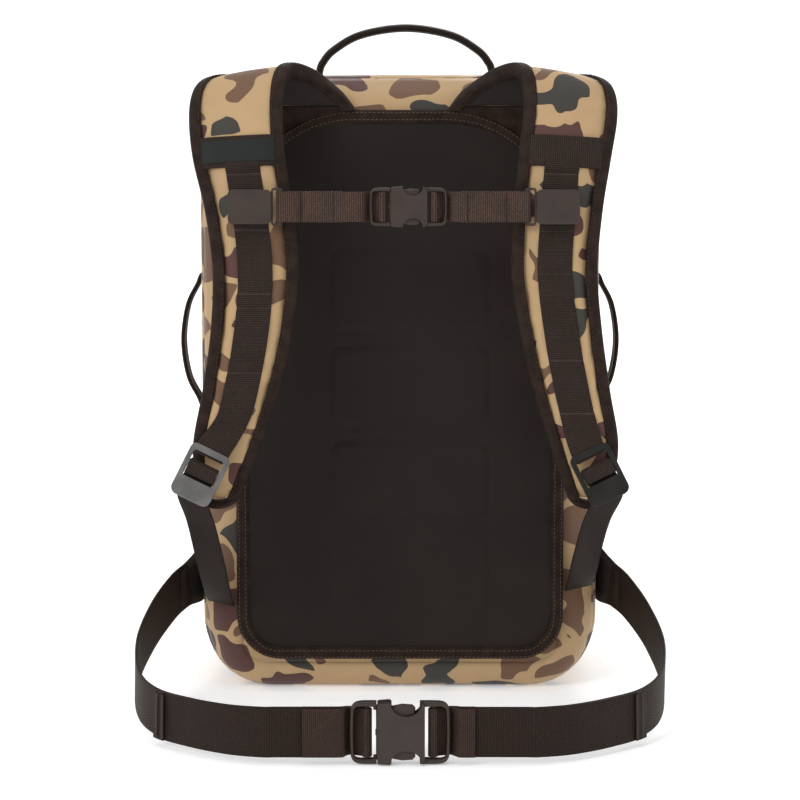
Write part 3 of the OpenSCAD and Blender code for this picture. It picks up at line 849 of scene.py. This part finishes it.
def finished(work, name, material):
    """Smooth-shaded object from a bmesh, with its normals kept flat on the broad faces."""
    mesh = bpy.data.meshes.new(name)
    work.to_mesh(mesh)
    work.free()
    for polygon in mesh.polygons:
        polygon.use_smooth = True
    obj = add_object(name, mesh, M[material])
    obj.modifiers.new("normals", "WEIGHTED_NORMAL").keep_sharp = False
    return obj


def moulded(node, width, share=0.26, material="plastic"):
    """Copy of a CAD node with every hard edge rounded, as a mould or a file leaves it."""
    work = bmesh.new()
    work.from_mesh(frame["nodes"][node].data)
    bmesh.ops.remove_doubles(work, verts=work.verts, dist=2e-6)
    bmesh.ops.dissolve_limit(work, angle_limit=math.radians(3), verts=work.verts, edges=work.edges)
    for group in islands(work):
        size = [max(v.co[k] for v in group) - min(v.co[k] for v in group) for k in range(3)]
        members = set(group)
        edges = [
            e for e in work.edges
            if e.verts[0] in members and len(e.link_faces) == 2 and e.calc_face_angle(0) > math.radians(33)
        ]
        rounded_edges(work, edges, min(width * MM, share * min(size)))
    stands_for(finished(work, node + "_shape", material), node)


# ---------- front door and zip ----------

def make_door():
    w, h = DOOR_W, DOOR_H

    def place(u, v):
        x, z = rounded(w * (u - 0.5), h * (v - 0.5), w, h, DOOR_TOP_R, DOOR_BOTTOM_R)
        edge = -rounded_distance(x, z, w, h, 40)
        crown = 2.2 * smoothstep(8, 60, edge) + 0.35 * soft_noise((x, 0, z), 70, 8.0)
        return x, FRONT_Y + crown * smoothstep(0, 14, edge), DOOR_Z + z

    points, faces = grid(60, 110, place)
    outward = [(a, d, c, b) for a, b, c, d in faces]
    obj = build("door_skin", points, outward, M["gusset"], M["lining"])
    thicken(obj, 3, 1)
    stands_for(obj, "front_door")
    tacks = [35 + 38 * k for k in range(10)]
    for word, side in SIDES.items():
        line = [
            (Vector((side * DAISY_X, FRONT_Y + 3.4, DOOR_Z - (h - 90) / 2 + DAISY_LENGTH * k / 96)),
             Vector((1, 0, 0)), Vector((0, 1, 0)), Vector((0, 0, 1)))
            for k in range(97)
        ]
        strip = band(
            "door_daisy_" + word, line, 25, 1.8, "webbing", lift=lambda run, _: bulge(run, tacks, 2.0)
        )
        if side == LEFT:
            stands_for(strip, "door_webbing")
        else:
            stands_for(strip, body="front_door", slot="webbing")
        bartacks("door_tacks_" + word, line, tacks, 25, 1.0, "front_door")


def bulge(run, tacks, height):
    """Height of webbing that stands proud between two tacks."""
    below = max([t for t in tacks if t <= run], default=None)
    above = min([t for t in tacks if t > run], default=None)
    if below is None or above is None:
        return 0.0
    s = (run - below) / (above - below)
    return height * math.sin(math.pi * s) ** 0.7


def station_at(stations, run):
    """Station nearest to a distance along a list of stations."""
    total = 0.0
    for i in range(1, len(stations)):
        total += (stations[i][0] - stations[i - 1][0]).length
        if total >= run:
            return stations[i]
    return stations[-1]


def bartacks(name, stations, runs, width, lift, body, slot="webbing"):
    """Dense crosswise sewing that holds webbing down at each of several distances."""
    places = []
    count = round(width / 1.1)
    for run in runs:
        at, wide, out, along = station_at(stations, run)
        for k in range(count):
            x = -width / 2 + 1.2 + (width - 2.4) * k / (count - 1)
            places.append((at + wide * x + out * lift, along, out))
    make_stitches(name, places, body, 3.2, 0.42, "webbing_thread", slot)


def zip_line(grow, counts=(14, 44, 96)):
    """Outline of the zip from the hinge up one side, over the top and down the other."""
    bottom_r = DOOR_BOTTOM_R + max(grow, -5)
    loop = outline(DOOR_W + 2 * grow, DOOR_H + 2 * grow, DOOR_TOP_R + grow, bottom_r, counts)
    low = -DOOR_H / 2 + 25
    upper = [p for p in loop if p[1] >= low]
    feet = [i for i, p in enumerate(upper) if p[1] < low + 10]
    start = max(feet, key=lambda i: upper[i][0] - upper[i][1] * 0.01)
    return upper[start:] + upper[:start]


def make_zip():
    tracks = (("zip_track_body", "pack", DOOR_GAP, 1), ("zip_track_door", "front_door", 0, -1))
    for node, body, edge, sign in tracks:
        stations = [
            (Vector((x, FRONT_Y + 0.9, DOOR_Z + z)), Vector((nx, 0, nz)),
             Vector((0, 1, 0)), Vector((-nz, 0, nx)))
            for x, z, nx, nz in zip_line(edge + sign * 5.2)
        ]
        stands_for(band(node + "_tape", stations, 8.2, 1.0, "zip"), node)
        teeth = [
            (Vector((x, FRONT_Y + 1.7, DOOR_Z + z)), Vector((nx, 0, nz)), Vector((0, 1, 0)))
            for x, z, nx, nz in zip_line(edge + sign * 1.3, (40, 90, 200))
        ]
        make_stitches(node + "_coil", teeth, body, 2.4, 0.62, "coil", "zip_tape")
    moulded("zip_slider", 0.8, material="metal")
    moulded("zip_pull", 0.9, material="rubber")


# ---------- handles ----------

def handle_points(span, rise, lift, shoulder, crown_share):
    """Arch of a handle from one foot on the bag to the other, in its own plane."""
    inner = lift + (rise - lift) * shoulder
    crown = lift + (rise - lift) * crown_share
    half = [
        (-span / 2 - 1, 0.8), (-span / 2 - 0.3, lift / 2), (-span / 2 + 2.4, lift), (-span * 0.42, inner),
        (-span * 0.26, crown),
    ]
    return half + [(0, rise)] + [(-x, z) for x, z in reversed(half)]


def make_handle(node, span, rise, thick, arch, place, tabs=None):
    """Folded webbing handle whose feet stay on the bag; place maps its plane to the bag."""
    rows = handle_points(span, rise, *arch)
    last = len(rows) - 1
    origin = place(0, 0, 0)
    wide = (place(0, 1, 0) - origin).normalized()
    off_bag = (place(0, 0, 1) - origin).normalized()
    flat = [Vector(spline(rows, last * i / 96)) for i in range(97)]
    stations = polyline([place(p.x, 0, p.y) for p in flat], wide)

    def fold(_, across):
        return (thick - 2.4) * (0.4 - across * across)

    obj = band(node + "_webbing", stations, 25, thick, "smooth_webbing", lift=fold)
    place(0, 0, 2) * MM
    place(0, 0, 17) * MM
    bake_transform(obj)
    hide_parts(node)
    for n, s in enumerate((-1, 1), 1):
        foot = [place(s * (span / 2 - 1 + 20 * k / 6), 0, 0.9 + (1.0 if k == 0 else 0)) for k in range(7)]
        stations = [(at, wide_, off_bag, along) for at, wide_, _, along in polyline(foot, wide)]
        tab = band(f"{node}_foot_{n}", stations, 25, 1.8, "smooth_webbing")
        stands_for(tab, body="pack", slot="handle_webbing")
        if tabs and n == 1:
            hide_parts(tabs)
        bartacks(f"{node}_tacks_{n}", stations, [5, 17], 24, 1.1, "pack", "handle_webbing")


# Height of a handle's lift off the bag, then how far its shoulders and crown have risen.
TOP_ARCH = (13.5, 0.36, 0.80)
SIDE_ARCH = (6.0, 0.18, 0.74)


def make_handles():
    top, side_x, side_z = BAG_H + 0.3, BAG_W / 2 + 0.3, 291
    make_handle(
        "top_handle", 150, 43.5, 4.4, TOP_ARCH, lambda x, y, z: Vector((x + 5, y, top + z)), "top_handle_tabs"
    )
    for word, side in SIDES.items():
        make_handle(
            "side_handle_" + word, 118, 22, 3.2, SIDE_ARCH,
            lambda x, y, z: Vector((side * (side_x + z), y, side_z - side * x)),
            "side_handle_tabs" if side == LEFT else None
        )


# ---------- shoulder straps ----------

def strap_station(side, t):
    """Place, width direction, outward direction, forward direction and width of a strap."""
    width, roll = spline(STRAP, t)[4:]
    path = [(left if side == LEFT else right, y, z) for left, right, y, z, _, _ in STRAP]
    roll = math.radians(-side * roll)
    wide = Vector((math.cos(roll), 0, math.sin(roll)))
    along = slope(path, t)
    square = (wide - along * along.dot(wide)).normalized()
    along = square.cross(along.cross(square)).normalized()
    return Vector(spline(path, t)), wide, along.cross(wide).normalized(), along, width


def strap_stations(side, start, end, count):
    return [strap_station(side, start + (end - start) * i / count) for i in range(count + 1)]


def pad_ring(station, tuck):
    """Section of the pad: crowned on both faces, thinner where the binding grips it."""
    at, wide, out, _, width = station
    half = width / 2 - STRAP_EDGE + 2.0
    ring, cells = [], 12
    for face in (1, -1):
        for i in range(cells + 1):
            n = face * (1 - 2 * i / cells)
            high = (4.4 + 1.2 * (1 - n * n)) * tuck
            ring.append(at + wide * (half * n) + out * (face * high))
    return ring


def swell(obj, voxel, pressure, cap, frames=20):
    """Inflates a closed mesh with a short cloth simulation, no point moving further than the cap."""
    bpy.context.view_layer.objects.active = obj
    remesh = obj.modifiers.new("voxels", "REMESH")
    remesh.mode = "VOXEL"
    remesh.voxel_size = voxel * MM
    bpy.ops.object.select_all(action="DESELECT")
    obj.select_set(True)
    bpy.ops.object.modifier_apply(modifier=remesh.name)
    rest = [v.co.copy() for v in obj.data.vertices]
    cloth = obj.modifiers.new("fill", "CLOTH")
    settings = {
        "quality": 5, "mass": 0.4, "tension_stiffness": 40, "compression_stiffness": 40,
        "bending_stiffness": 4, "use_pressure": True, "uniform_pressure_force": pressure,
    }
    for key, value in settings.items():
        setattr(cloth.settings, key, value)
    cloth.settings.effector_weights.gravity = 0
    cloth.collision_settings.use_collision = False
    cloth.collision_settings.use_self_collision = False
    cloth.point_cache.frame_start = 1
    cloth.point_cache.frame_end = frames
    scene = bpy.context.scene
    for number in range(1, frames + 1):
        scene.frame_set(number)
    shape = obj.evaluated_get(bpy.context.evaluated_depsgraph_get())
    moved = [v.co.copy() for v in shape.data.vertices]
    obj.modifiers.remove(cloth)
    for v, old, new in zip(obj.data.vertices, rest, moved):
        step = new - old
        if step.length > cap * MM:
            step *= cap * MM / step.length
        v.co = old + step
    scene.frame_set(1)


def two_sided(obj, side, face, back):
    """Gives the strap's outer face one cloth and its inner face another."""
    samples = strap_stations(side, 0, len(STRAP) - 1, 60)
    mesh = obj.data
    mesh.materials.clear()
    mesh.materials.append(M[face])
    mesh.materials.append(M[back])
    for polygon in mesh.polygons:
        centre = polygon.center / MM
        near = min(samples, key=lambda s: (s[0] - centre).length_squared)
        polygon.material_index = 0 if (centre - near[0]).dot(near[2]) > -1.2 else 1
        polygon.use_smooth = True


def make_strap(side, name):
    last = len(STRAP) - 1
    count, sides, grip = 110, 19, STRAP_T / 2 + 0.95
    rings = []
    for i in range(count + 1):
        t = last * i / count
        ends = min(smoothstep(-0.1, 0.25, t), 1.0) * (0.35 + 0.65 * smoothstep(last, last - 0.35, t))
        rings.append(pad_ring(strap_station(side, t), max(ends, 0.3)))
    faces = ring_faces(len(rings), len(rings[0]))
    pad = fix_normals(build("strap_pad_" + name, [p for ring in rings for p in ring], faces, M["strap"]))
    swell(pad, 4.0, 4.0, 2.2)
    two_sided(pad, side, "strap", "mesh")
    smooth = pad.modifiers.new("smooth", "SUBSURF")
    smooth.levels = smooth.render_levels = 1
    stands_for(pad, "shoulder_strap_" + name)

    stations = strap_stations(side, 0, last, 150)
    for edge, word in ((-1, "outer"), (1, "inner")):
        points, weave, stitches, run, due = [], [], [], 0.0, 3.0
        for i, (at, wide, out, along, width) in enumerate(stations):
            run += (at - stations[i - 1][0]).length if i else 0.0
            x0 = width / 2 - STRAP_EDGE - 1.6
            for k in range(sides):
                a = math.radians(-90 + 180 * k / (sides - 1))
                c, s = math.cos(a), math.sin(a)
                across = x0 + (STRAP_EDGE + 1.9) * abs(c) ** 0.62
                high = 6.9 * math.copysign(abs(s) ** 0.55, s)
                points.append(at + wide * (edge * across) + out * high)
                weave.append((across, run))
            if run >= due:
                due += 3.4
                seam = at + wide * (edge * (x0 + 1.5))
                stitches += [(seam + out * grip, along, out), (seam - out * grip, along, -out)]
        faces = ring_faces(len(stations), sides)
        roll = fix_normals(build(f"strap_roll_{name}_{word}", points, faces, M["tape"], weave=weave))
        if edge < 0:
            stands_for(roll, "strap_binding_" + name)
        else:
            stands_for(roll, body="pack", slot="binding_tape")
        make_stitches(f"strap_stitches_{name}_{word}", stitches, "pack", 2.3, 0.3, "dark_thread")


def make_strap_tip(side, name):
    """Binding that wraps the strap's lower end, from one roll round to the other."""
    at, wide, out, along, width = strap_station(side, len(STRAP) - 1)
    half, rings = width / 2 - 3.0, []
    for k in range(33):
        a = math.pi * (k / 32 - 0.5)
        centre = at + wide * (half * math.sin(a)) + along * (TIP_REACH * math.cos(a) - 3.0)
        away = (wide * math.sin(a) + along * math.cos(a)).normalized()
        for n in range(14):
            b = math.tau * n / 14
            rings.append(centre + away * (3.6 * math.cos(b)) + out * (6.4 * math.sin(b)))
    tip = fix_normals(build("strap_tip_" + name, rings, ring_faces(33, 14), M["tape"]))
    stands_for(tip, body="pack", slot="binding_tape")


def make_yoke(side, name):
    """Dark cloth that carries a strap from under the panel's top binding."""
    x = STRAP[0][0 if side == LEFT else 1]
    rows = [
        (x, BACK_Y - 1.3, 425), (x, BACK_Y - 1.8, 460), (x + side, BACK_Y - 4.5, 482),
        (x + side * 3, BACK_Y - 7, 493),
    ]
    points = [spline(rows, 3 * k / 20) for k in range(21)]
    cloth = band("strap_yoke_" + name, polyline(points, (1, 0, 0)), 84, 3.0, "tape", cells=12)
    stands_for(cloth, body="pack", slot="binding_tape")


def make_ladder(side, name, tacks):
    """Webbing tacked down the strap; its lower end bends off it behind the adjuster's top bar."""
    base = STRAP_T / 2 + 0.9
    stations = []
    for at, wide, out, along, _ in strap_stations(side, LADDER_STARTS, LADDER_LEAVES, 130):
        inward = 2.6 * smoothstep(400, 470, at.z) * -side
        stations.append((at + wide * inward + out * base, wide, out, along))
    at, wide, out, along = stations[-1]
    place = adjuster_place(side)
    bar = place(0, BAR_DEPTH, TOP_BAR)
    origin = place(0, 0, 0)
    bar_wide = (place(1, 0, 0) - origin).normalized()
    bar_out = (origin - place(0, 1, 0)).normalized()
    bar_along = (origin - place(0, 0, 1)).normalized()
    reach = (bar - at).length
    for k in range(1, 25):
        u = k / 24
        b0, b1 = (1 + 2 * u) * (1 - u) ** 2, u * (1 - u) ** 2
        b2, b3 = u * u * (3 - 2 * u), u * u * (u - 1)
        p = at * b0 + along * (reach * b1) + bar * b2 + bar_along * (reach * b3)
        turn = smoothstep(0, 1, u)
        stations.append(
            (p, wide.lerp(bar_wide, turn).normalized(), out.lerp(bar_out, turn).normalized(), bar_along)
        )

    def lift(run, x):
        return bulge(run, tacks, 2.4) * (1 - 0.15 * x * x) if run < tacks[-1] else 0.0

    strip = band("ladder_webbing_" + name, stations, 27.5, 1.7, "ladder", lift=lift)
    stands_for(strip, "strap_webbing_" + name)
    bartacks("ladder_tacks_" + name, stations, tacks[1:-1], 27, 0.9, "pack")


def across_strap(side, name, w, h, t, lift, material):
    """Short strip of webbing sewn across a strap, curved over its crown."""
    at, wide, out, _, _ = strap_station(side, CROSS_AT)
    down = wide.cross(out).normalized()
    if down.z > 0:
        down = -down
    stations = []
    for k in range(25):
        x = -w / 2 + w * k / 24
        drop = -0.0009 * x * x - 1.9 * smoothstep(0.38 * w, 0.5 * w, abs(x))
        stations.append((at + wide * x + out * (lift + drop), down, out, wide))
    return band(name, stations, h, t, material, cells=10)


def make_cross_pieces():
    lift = STRAP_T / 2 + 2.4
    for name, side in SIDES.items():
        strip = across_strap(side, "cross_strip_" + name, 60, 26, 1.7, lift, "ladder")
        stands_for(strip, "cross_webbing_" + name)
    label = across_strap(LEFT, "label_blank", 59.4, 18.5, 0.9, lift + 1.15, "label")
    stands_for(label, "label_patch")


# ---------- adjusters ----------

ADJUSTER_PITCH, ADJUSTER_TILT = 12, 26
ADJUSTER_AT = Vector((158, -222, 201))
ADJUSTER_H = 44
# Heights of the adjuster's bars above its middle, and the middle plane of the webbing round them.
TOP_BAR, HANGER_BAR, TURN_BAR = ADJUSTER_H * 0.36, ADJUSTER_H * 0.427, ADJUSTER_H * 0.12
BAR_DEPTH = 2.6


def adjuster_place(side):
    pitch = Matrix.Rotation(math.radians(-ADJUSTER_PITCH), 4, "X")
    turn = pitch @ Matrix.Rotation(math.radians(side * -ADJUSTER_TILT), 4, "Y")
    at = Vector((side * ADJUSTER_AT.x, ADJUSTER_AT.y, ADJUSTER_AT.z))
    return lambda x, y, z: at + turn @ Vector((x, y, z))


def adjuster_loop(side, name, path, bar_z, flip):
    """Webbing turned round a bar of the adjuster; flip hangs its legs down."""
    place = adjuster_place(side)
    points = [place(0, y, bar_z + flip * z) for y, z in path]
    wide = (place(1, 0, 0) - place(0, 0, 0)).normalized()
    return band(name, polyline(points, wide), 24.5, 1.5, "ladder")


def make_adjuster(side, name):
    # The right adjuster, the same part as the left, takes the darker metal copy as painted shade.
    moulded("adjuster_" + name, 1.1, 0.32, "metal" if side == LEFT else "adjuster_metal_shaded_copy")
    lip = u_path(3.2, 0, 7)[7:]
    hanger = adjuster_loop(side, "hanger_loop_" + name, lip, HANGER_BAR, 1)
    stands_for(hanger, "adjuster_hanger_" + name)
    turn = adjuster_loop(side, "adjuster_loop_" + name, u_path(3.6, 8.5, 9), TURN_BAR, -1)
    stands_for(turn, "adjuster_turn_" + name)

    place = adjuster_place(side)
    rows = [tuple(place(0, BAR_DEPTH, TURN_BAR - 6)), tuple(place(0, 3.4, -16))] + LOWER[side]
    stations = route(rows, (1, 0, 0.25 * side), 70)

    def lift(run, x):
        return 0.5 * math.sin(run / 19 + side) * x

    strip = band("lower_strap_" + name, stations, 24, 1.7, "smooth_webbing", lift=lift)
    low, high = Vector(rows[-1]), Vector(rows[0])
    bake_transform(strip)
    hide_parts("lower_webbing_" + name)


# ---------- buckles and their webbing ----------

# Outlines of a side-release prong between its root and its barb, as shares of the buckle's size.
PRONG = [(0.08, 0.27), (0.15, 0.30), (0.155, 0.40), (0.125, 0.45), (0.02, 0.462), (-0.08, 0.43)]
# Ends of the socket and of the plug's plate, ladder bar and thickness of a shell, as shares too.
SOCKET_END, PLUG_ROOT, LADDER_BAR, SHELL = 0.25, -0.235, 0.335, 0.26
HIP_WEB, STERNUM_WEB = 38, 23.5
HIP_BUCKLE = Vector((74, 46, 13))
STERNUM_BUCKLE = Vector((60, 31, 10.5))
HIP_AT = Vector((0, -343, 24.5))
STERNUM_AT = Vector((6.5, -213.5, 412))


def joined(name, pieces):
    """One moulded object from several bmesh pieces."""
    work = bmesh.new()
    for piece in pieces:
        mesh = bpy.data.meshes.new("part")
        piece.to_mesh(mesh)
        piece.free()
        work.from_mesh(mesh)
        bpy.data.meshes.remove(mesh)
    return finished(work, name, "plastic")


def cover(outline_xz, at, y0, y1, edge):
    """Plate with an outline in the XZ plane between two depths, its rims rounded."""
    work = bmesh.new()
    ring = [work.verts.new((at + Vector((x, y0, z))) * MM) for x, z in outline_xz]
    grown = bmesh.ops.extrude_face_region(work, geom=[work.faces.new(ring)])
    for v in [g for g in grown["geom"] if isinstance(g, bmesh.types.BMVert)]:
        v.co.y = (at.y + y1) * MM
    bmesh.ops.recalc_face_normals(work, faces=work.faces)
    rims = [e for e in work.edges if any(len(f.verts) > 4 for f in e.link_faces)]
    rounded_edges(work, rims, edge * MM)
    return work


def rod(rows, at, depth, flip=1):
    """Bar swept along (x, z, width) rows in the XZ plane, rounded in section."""
    work = bmesh.new()
    last = len(rows) - 1
    count, sides = 14 * last, 16
    rings = []
    for i in range(count + 1):
        t = last * i / count
        x, z, width = spline(rows, t)
        ax, az, _ = spline(rows, min(t + 0.03, last))
        bx, bz, _ = spline(rows, max(t - 0.03, 0))
        ahead = Vector((ax - bx, 0, az - bz)).normalized()
        side = Vector((-ahead.z, 0, ahead.x))
        ring = []
        for k in range(sides):
            a = math.tau * k / sides
            c, s = math.cos(a), math.sin(a)
            c, s = math.copysign(abs(c) ** 0.6, c), math.copysign(abs(s) ** 0.6, s)
            p = Vector((x, 0, z)) + side * (c * width / 2) + Vector((0, s * depth / 2, 0))
            ring.append(work.verts.new((at + Vector((flip * p.x, p.y, p.z))) * MM))
        rings.append(ring)
    for a, b in zip(rings, rings[1:]):
        for k in range(sides):
            work.faces.new((a[k], b[k], b[(k + 1) % sides], a[(k + 1) % sides]))
    work.faces.new(rings[0])
    work.faces.new(rings[-1])
    bmesh.ops.recalc_face_normals(work, faces=work.faces)
    return work


def buckle_frame(size, web, at, flip):
    """U-shaped frame and ladder bar that the webbing threads; flip -1 puts it on the left."""
    outer, inner = size.x / 2, -PLUG_ROOT * size.x
    z = web / 2 + 0.055 * size.y
    r = 0.13 * size.y
    wide, thin = 0.098 * size.y, 0.055 * size.y
    half = [
        (inner + 0.1, z, wide), (inner + 4, z + 0.2, wide), (outer - r, z, wide * 0.85),
        (outer - 0.35 * r, z - 0.45 * r, thin * 1.15), (outer - thin / 2, z - 1.4 * r, thin),
    ]
    rows = half + [(outer - thin / 2 + 0.3, 0, thin)] + [(x, -zz, w) for x, zz, w in reversed(half)]
    bar = LADDER_BAR * size.x
    return [rod(rows, at, size.z * 0.55, flip), rod([(bar, z, 3), (bar, 0, 3), (bar, -z, 3)], at, 3, flip)]


def scalloped(size, x0, x1):
    """Face of the socket: a scallop above and below that bares the latch buttons."""
    top = size.y / 2
    middle, radius = 0.062 * size.x, 0.245 * size.y
    dip = [(middle + radius * 1.05 * math.cos(a), top + 0.6 - radius * math.sin(a) * 0.95)
           for a in (math.pi * k / 16 for k in range(17))]
    upper = [(x0, top - 1.2), (x0 + 1.2, top)] + [(x, z) for x, z in reversed(dip)]
    upper += [(x1 - 2.0, top - 0.4), (x1, top - 2.4)]
    return upper + [(x, -z) for x, z in reversed(upper)]


def rectangle(x0, x1, z0, z1):
    return [(x0, z0), (x1, z0), (x1, z1), (x0, z1)]


def make_buckle(prefix, size, web, at):
    root = PLUG_ROOT * size.x
    x0, x1 = root + 0.5, SOCKET_END * size.x
    half = size.z / 2
    inside = half - SHELL * size.z
    face = scalloped(size, x0, x1)

    def plate(shape, depth, edge):
        return cover(shape, at, -depth, depth, edge)

    socket = [cover(face, at, -half, -inside, 1.1), cover(face, at, inside, half, 1.1)]
    for s in (1, -1):
        zs = sorted((s * 0.435 * size.y, s * (size.y / 2 - 0.15)))
        for a, b in ((x0, -0.085 * size.x), (0.2 * size.x, x1)):
            socket.append(plate(rectangle(a, b, *zs), half - 0.4, 0.7))
    end = rectangle(x1 - 3.8, x1 - 0.2, -0.44 * size.y, 0.44 * size.y)
    socket.append(plate(end, half - 0.4, 0.8))
    socket += buckle_frame(size, web, at, 1)
    stands_for(joined(prefix + "_socket_shape", socket), prefix + "_socket")

    h = 0.445 * size.y
    plug = [plate(rectangle(root - 0.5, root + 2.6, -h, h), inside - 0.6, 0.7)]
    for s in (1, -1):
        tab = rectangle(root - 2.5, root + 1, *sorted((s * h, s * h * 0.86)))
        plug.append(plate(tab, inside - 0.4, 0.6))
    tip = root + 0.3 * size.x
    guide = [(root - 1, -1.8), (tip, -1.8), (root + 0.33 * size.x, 0), (tip, 1.8), (root - 1, 1.8)]
    plug.append(plate(guide, half - 3, 0.8))
    plug += buckle_frame(size, web, at, -1)
    stands_for(joined(prefix + "_plug_shape", plug), prefix + "_plug")
    z = size.y * 0.22
    arm = [(root + 1, z - 2.2)]
    arm += [(u * size.x, v * size.y) for u, v in PRONG]
    arm += [(root + 5, z + 2.4), (root + 1.6, z + 2.4)]
    for word, up in (("upper", 1), ("lower", -1)):
        prong = plate([(x, up * z) for x, z in arm], inside - 0.25, 1.2)
        stands_for(joined(f"{prefix}_prong_{word}_shape", [prong]), f"{prefix}_prong_{word}")


def buckle_turn(name, node, at, size, side, web, cover_y, reach, ply):
    """Webbing that dives under the frame's end bar, turns over the ladder bar and comes back."""
    bar = LADDER_BAR * size.x
    end = size.x / 2
    r = 1.5 + ply * 0.9
    rows = [
        (reach, -cover_y), (end + 8.5, -cover_y), (end + 4.5, -0.2), (end + 1.2, r + 1.2),
        (end - 2.5, r + 0.8), (bar + 2.6, 0.6), (bar + r * 0.8, -r * 0.6), (bar, -r),
        (bar - r * 0.8, -r * 0.6), (bar - r, 0.2),
        (bar - r * 0.6, r * 0.9), (bar + 2, r + 1.5), (end - 2, r + 2.9), (end + 4, r + 2.9),
        (end + 9, cover_y + 0.3), (reach, cover_y),
    ]
    last = len(rows) - 1
    flat = [spline(rows, last * k / 110) for k in range(111)]
    points = [at + Vector((side * x, y, 0)) for x, y in flat]
    obj = band(name, polyline(points, (0, 0, 1)), web, ply, "hip_turn" if web > 30 else "webbing")
    stands_for(obj, node)


def make_sternum():
    make_buckle("sternum", STERNUM_BUCKLE, STERNUM_WEB, STERNUM_AT)
    # Face of the clip block, then how far the turned end and the strap reach from the buckle.
    ends = {"left": (-93.9, 58, 52), "right": (99.8, 46, 41)}
    for name, side in SIDES.items():
        buckle_turn(
            "sternum_fold_" + name, "sternum_turn_" + name, STERNUM_AT, STERNUM_BUCKLE, side,
            STERNUM_WEB, 2.4, ends[name][1], 1.3
        )
    for name, side in SIDES.items():
        root, _, reach = ends[name]
        moulded("sternum_block_" + name, 2.6, 0.30)
        x0 = root - side * 4
        x1 = STERNUM_AT.x + side * reach
        points = [(x0 + (x1 - x0) * k / 40, STERNUM_AT.y, STERNUM_AT.z) for k in range(41)]
        strip = band(
            "sternum_strap_" + name, polyline(points, (0, 0, 1)), 24.5, 3.0, "webbing",
            lift=lambda run, x: 0.25 * soft_noise((run, 0, x * 8), 25, 2.0)
        )
        stands_for(strip, "sternum_webbing_" + name)
        hook = [(-2.3, 16), (-2.4, 10), *u_path(2.6, 4, 4), (2.4, 10), (2.3, 16)]
        hook = [Vector((x0 + side * 4 - side * s, STERNUM_AT.y + y, STERNUM_AT.z)) for y, s in hook]
        loop = band("sternum_hook_" + name, polyline(hook, (0, 0, 1)), 24, 1.2, "webbing")
        stands_for(loop, body="pack", slot="webbing")


def make_hip_wing(side, name):
    rows = [(side * x, y, z, w) for x, y, z, w in HIP_WING]
    places = [row[:3] for row in rows]
    up = Vector((0, 0, 1))
    section = band_section(1.0, 3.4)
    points, weave = [], []
    for k in range(25):
        t = 3 * k / 24
        *at, w = spline(rows, t)
        out = slope(places, t, 0.05).cross(up).normalized()
        out = out if out.x * side > 0 else -out
        points += [Vector(at) + up * (px * w) + out * py for px, py in section]
        weave += [(px * w, 1.6 * k) for px, _ in section]
    faces = ring_faces(25, len(section))
    wing = build("hip_wing_cloth_" + name, points, faces, M["lining"], weave=weave)
    stands_for(fix_normals(wing), "hip_wing_" + name)


def make_hip_side(side, name):
    end_x, reach = (-65, 73) if side == LEFT else (HIP_BUCKLE.x / 2 + 11, 56)
    rows = [(-side * x, y, z) for x, y, z in HIP] + [(end_x, HIP_AT.y, HIP_AT.z)]
    for kind, start in (("webbing", 0.0), ("tail", 0.51)):
        stations = route(rows, (0, 0, 1), 150, start)
        outward = 1 if stations[0][2].x * side > 0 else -1
        offset = outward * (1.25 if kind == "tail" else -1.25)
        obj = band(
            f"hip_{kind}_band_{name}", stations, HIP_WEB, 2.1, "hip_webbing", cells=12,
            lift=lambda run, x: offset + 0.35 * math.sin(run / 31) * x
        )
        stands_for(obj, f"hip_{kind}_{name}")
    hem = [(at + out * (offset + outward * 1.9), wide, out, along) for at, wide, out, along in stations[:9]]
    piece = band(f"hip_hem_{name}", hem, HIP_WEB, 1.7, "hip_webbing", cells=12)
    stands_for(piece, body="pack", slot="webbing")
    raised = [(at + out * outward * 1.0, wide, out, along) for at, wide, out, along in hem]
    bartacks(f"hip_hem_stitches_{name}", raised, [3.0, 14.0], HIP_WEB - 2, 0.3, "pack")
    buckle_turn(
        f"hip_fold_{name}", "hip_turn_" + name, HIP_AT, HIP_BUCKLE, side, HIP_WEB - 1, 4.0, reach, 1.7
    )
    make_hip_wing(side, name)


def make_inside():
    moulded("frame_sheet", 0.8, 0.3, "sheet")
    moulded("base_pad", 2.0, 0.3, "rubber")
    low, high = box_mm("slip_pocket")

    def place(u, v):
        x, z = low.x + (high.x - low.x) * u, low.z + (high.z - low.z) * v
        open_top = smoothstep(0.5, 1.0, v) * math.sin(math.pi * u)
        return x, low.y + 0.8 + 4.5 * open_top + 0.3 * soft_noise((x, 0, z), 40), z

    pocket = build("pocket_cloth", *grid(30, 30, place), M["lining"])
    thicken(pocket, 0.8)
    stands_for(pocket, "slip_pocket")


make_door()
make_zip()
make_handles()
for word, number in SIDES.items():
    make_strap(number, word)
    make_strap_tip(number, word)
    make_yoke(number, word)
for word, number in SIDES.items():
    make_ladder(number, word, LADDER_TACKS[word])
make_cross_pieces()
for word, number in SIDES.items():
    make_adjuster(number, word)
make_sternum()
make_buckle("hip", HIP_BUCKLE, HIP_WEB, HIP_AT)
for word, number in SIDES.items():
    make_hip_side(number, word)
make_inside()
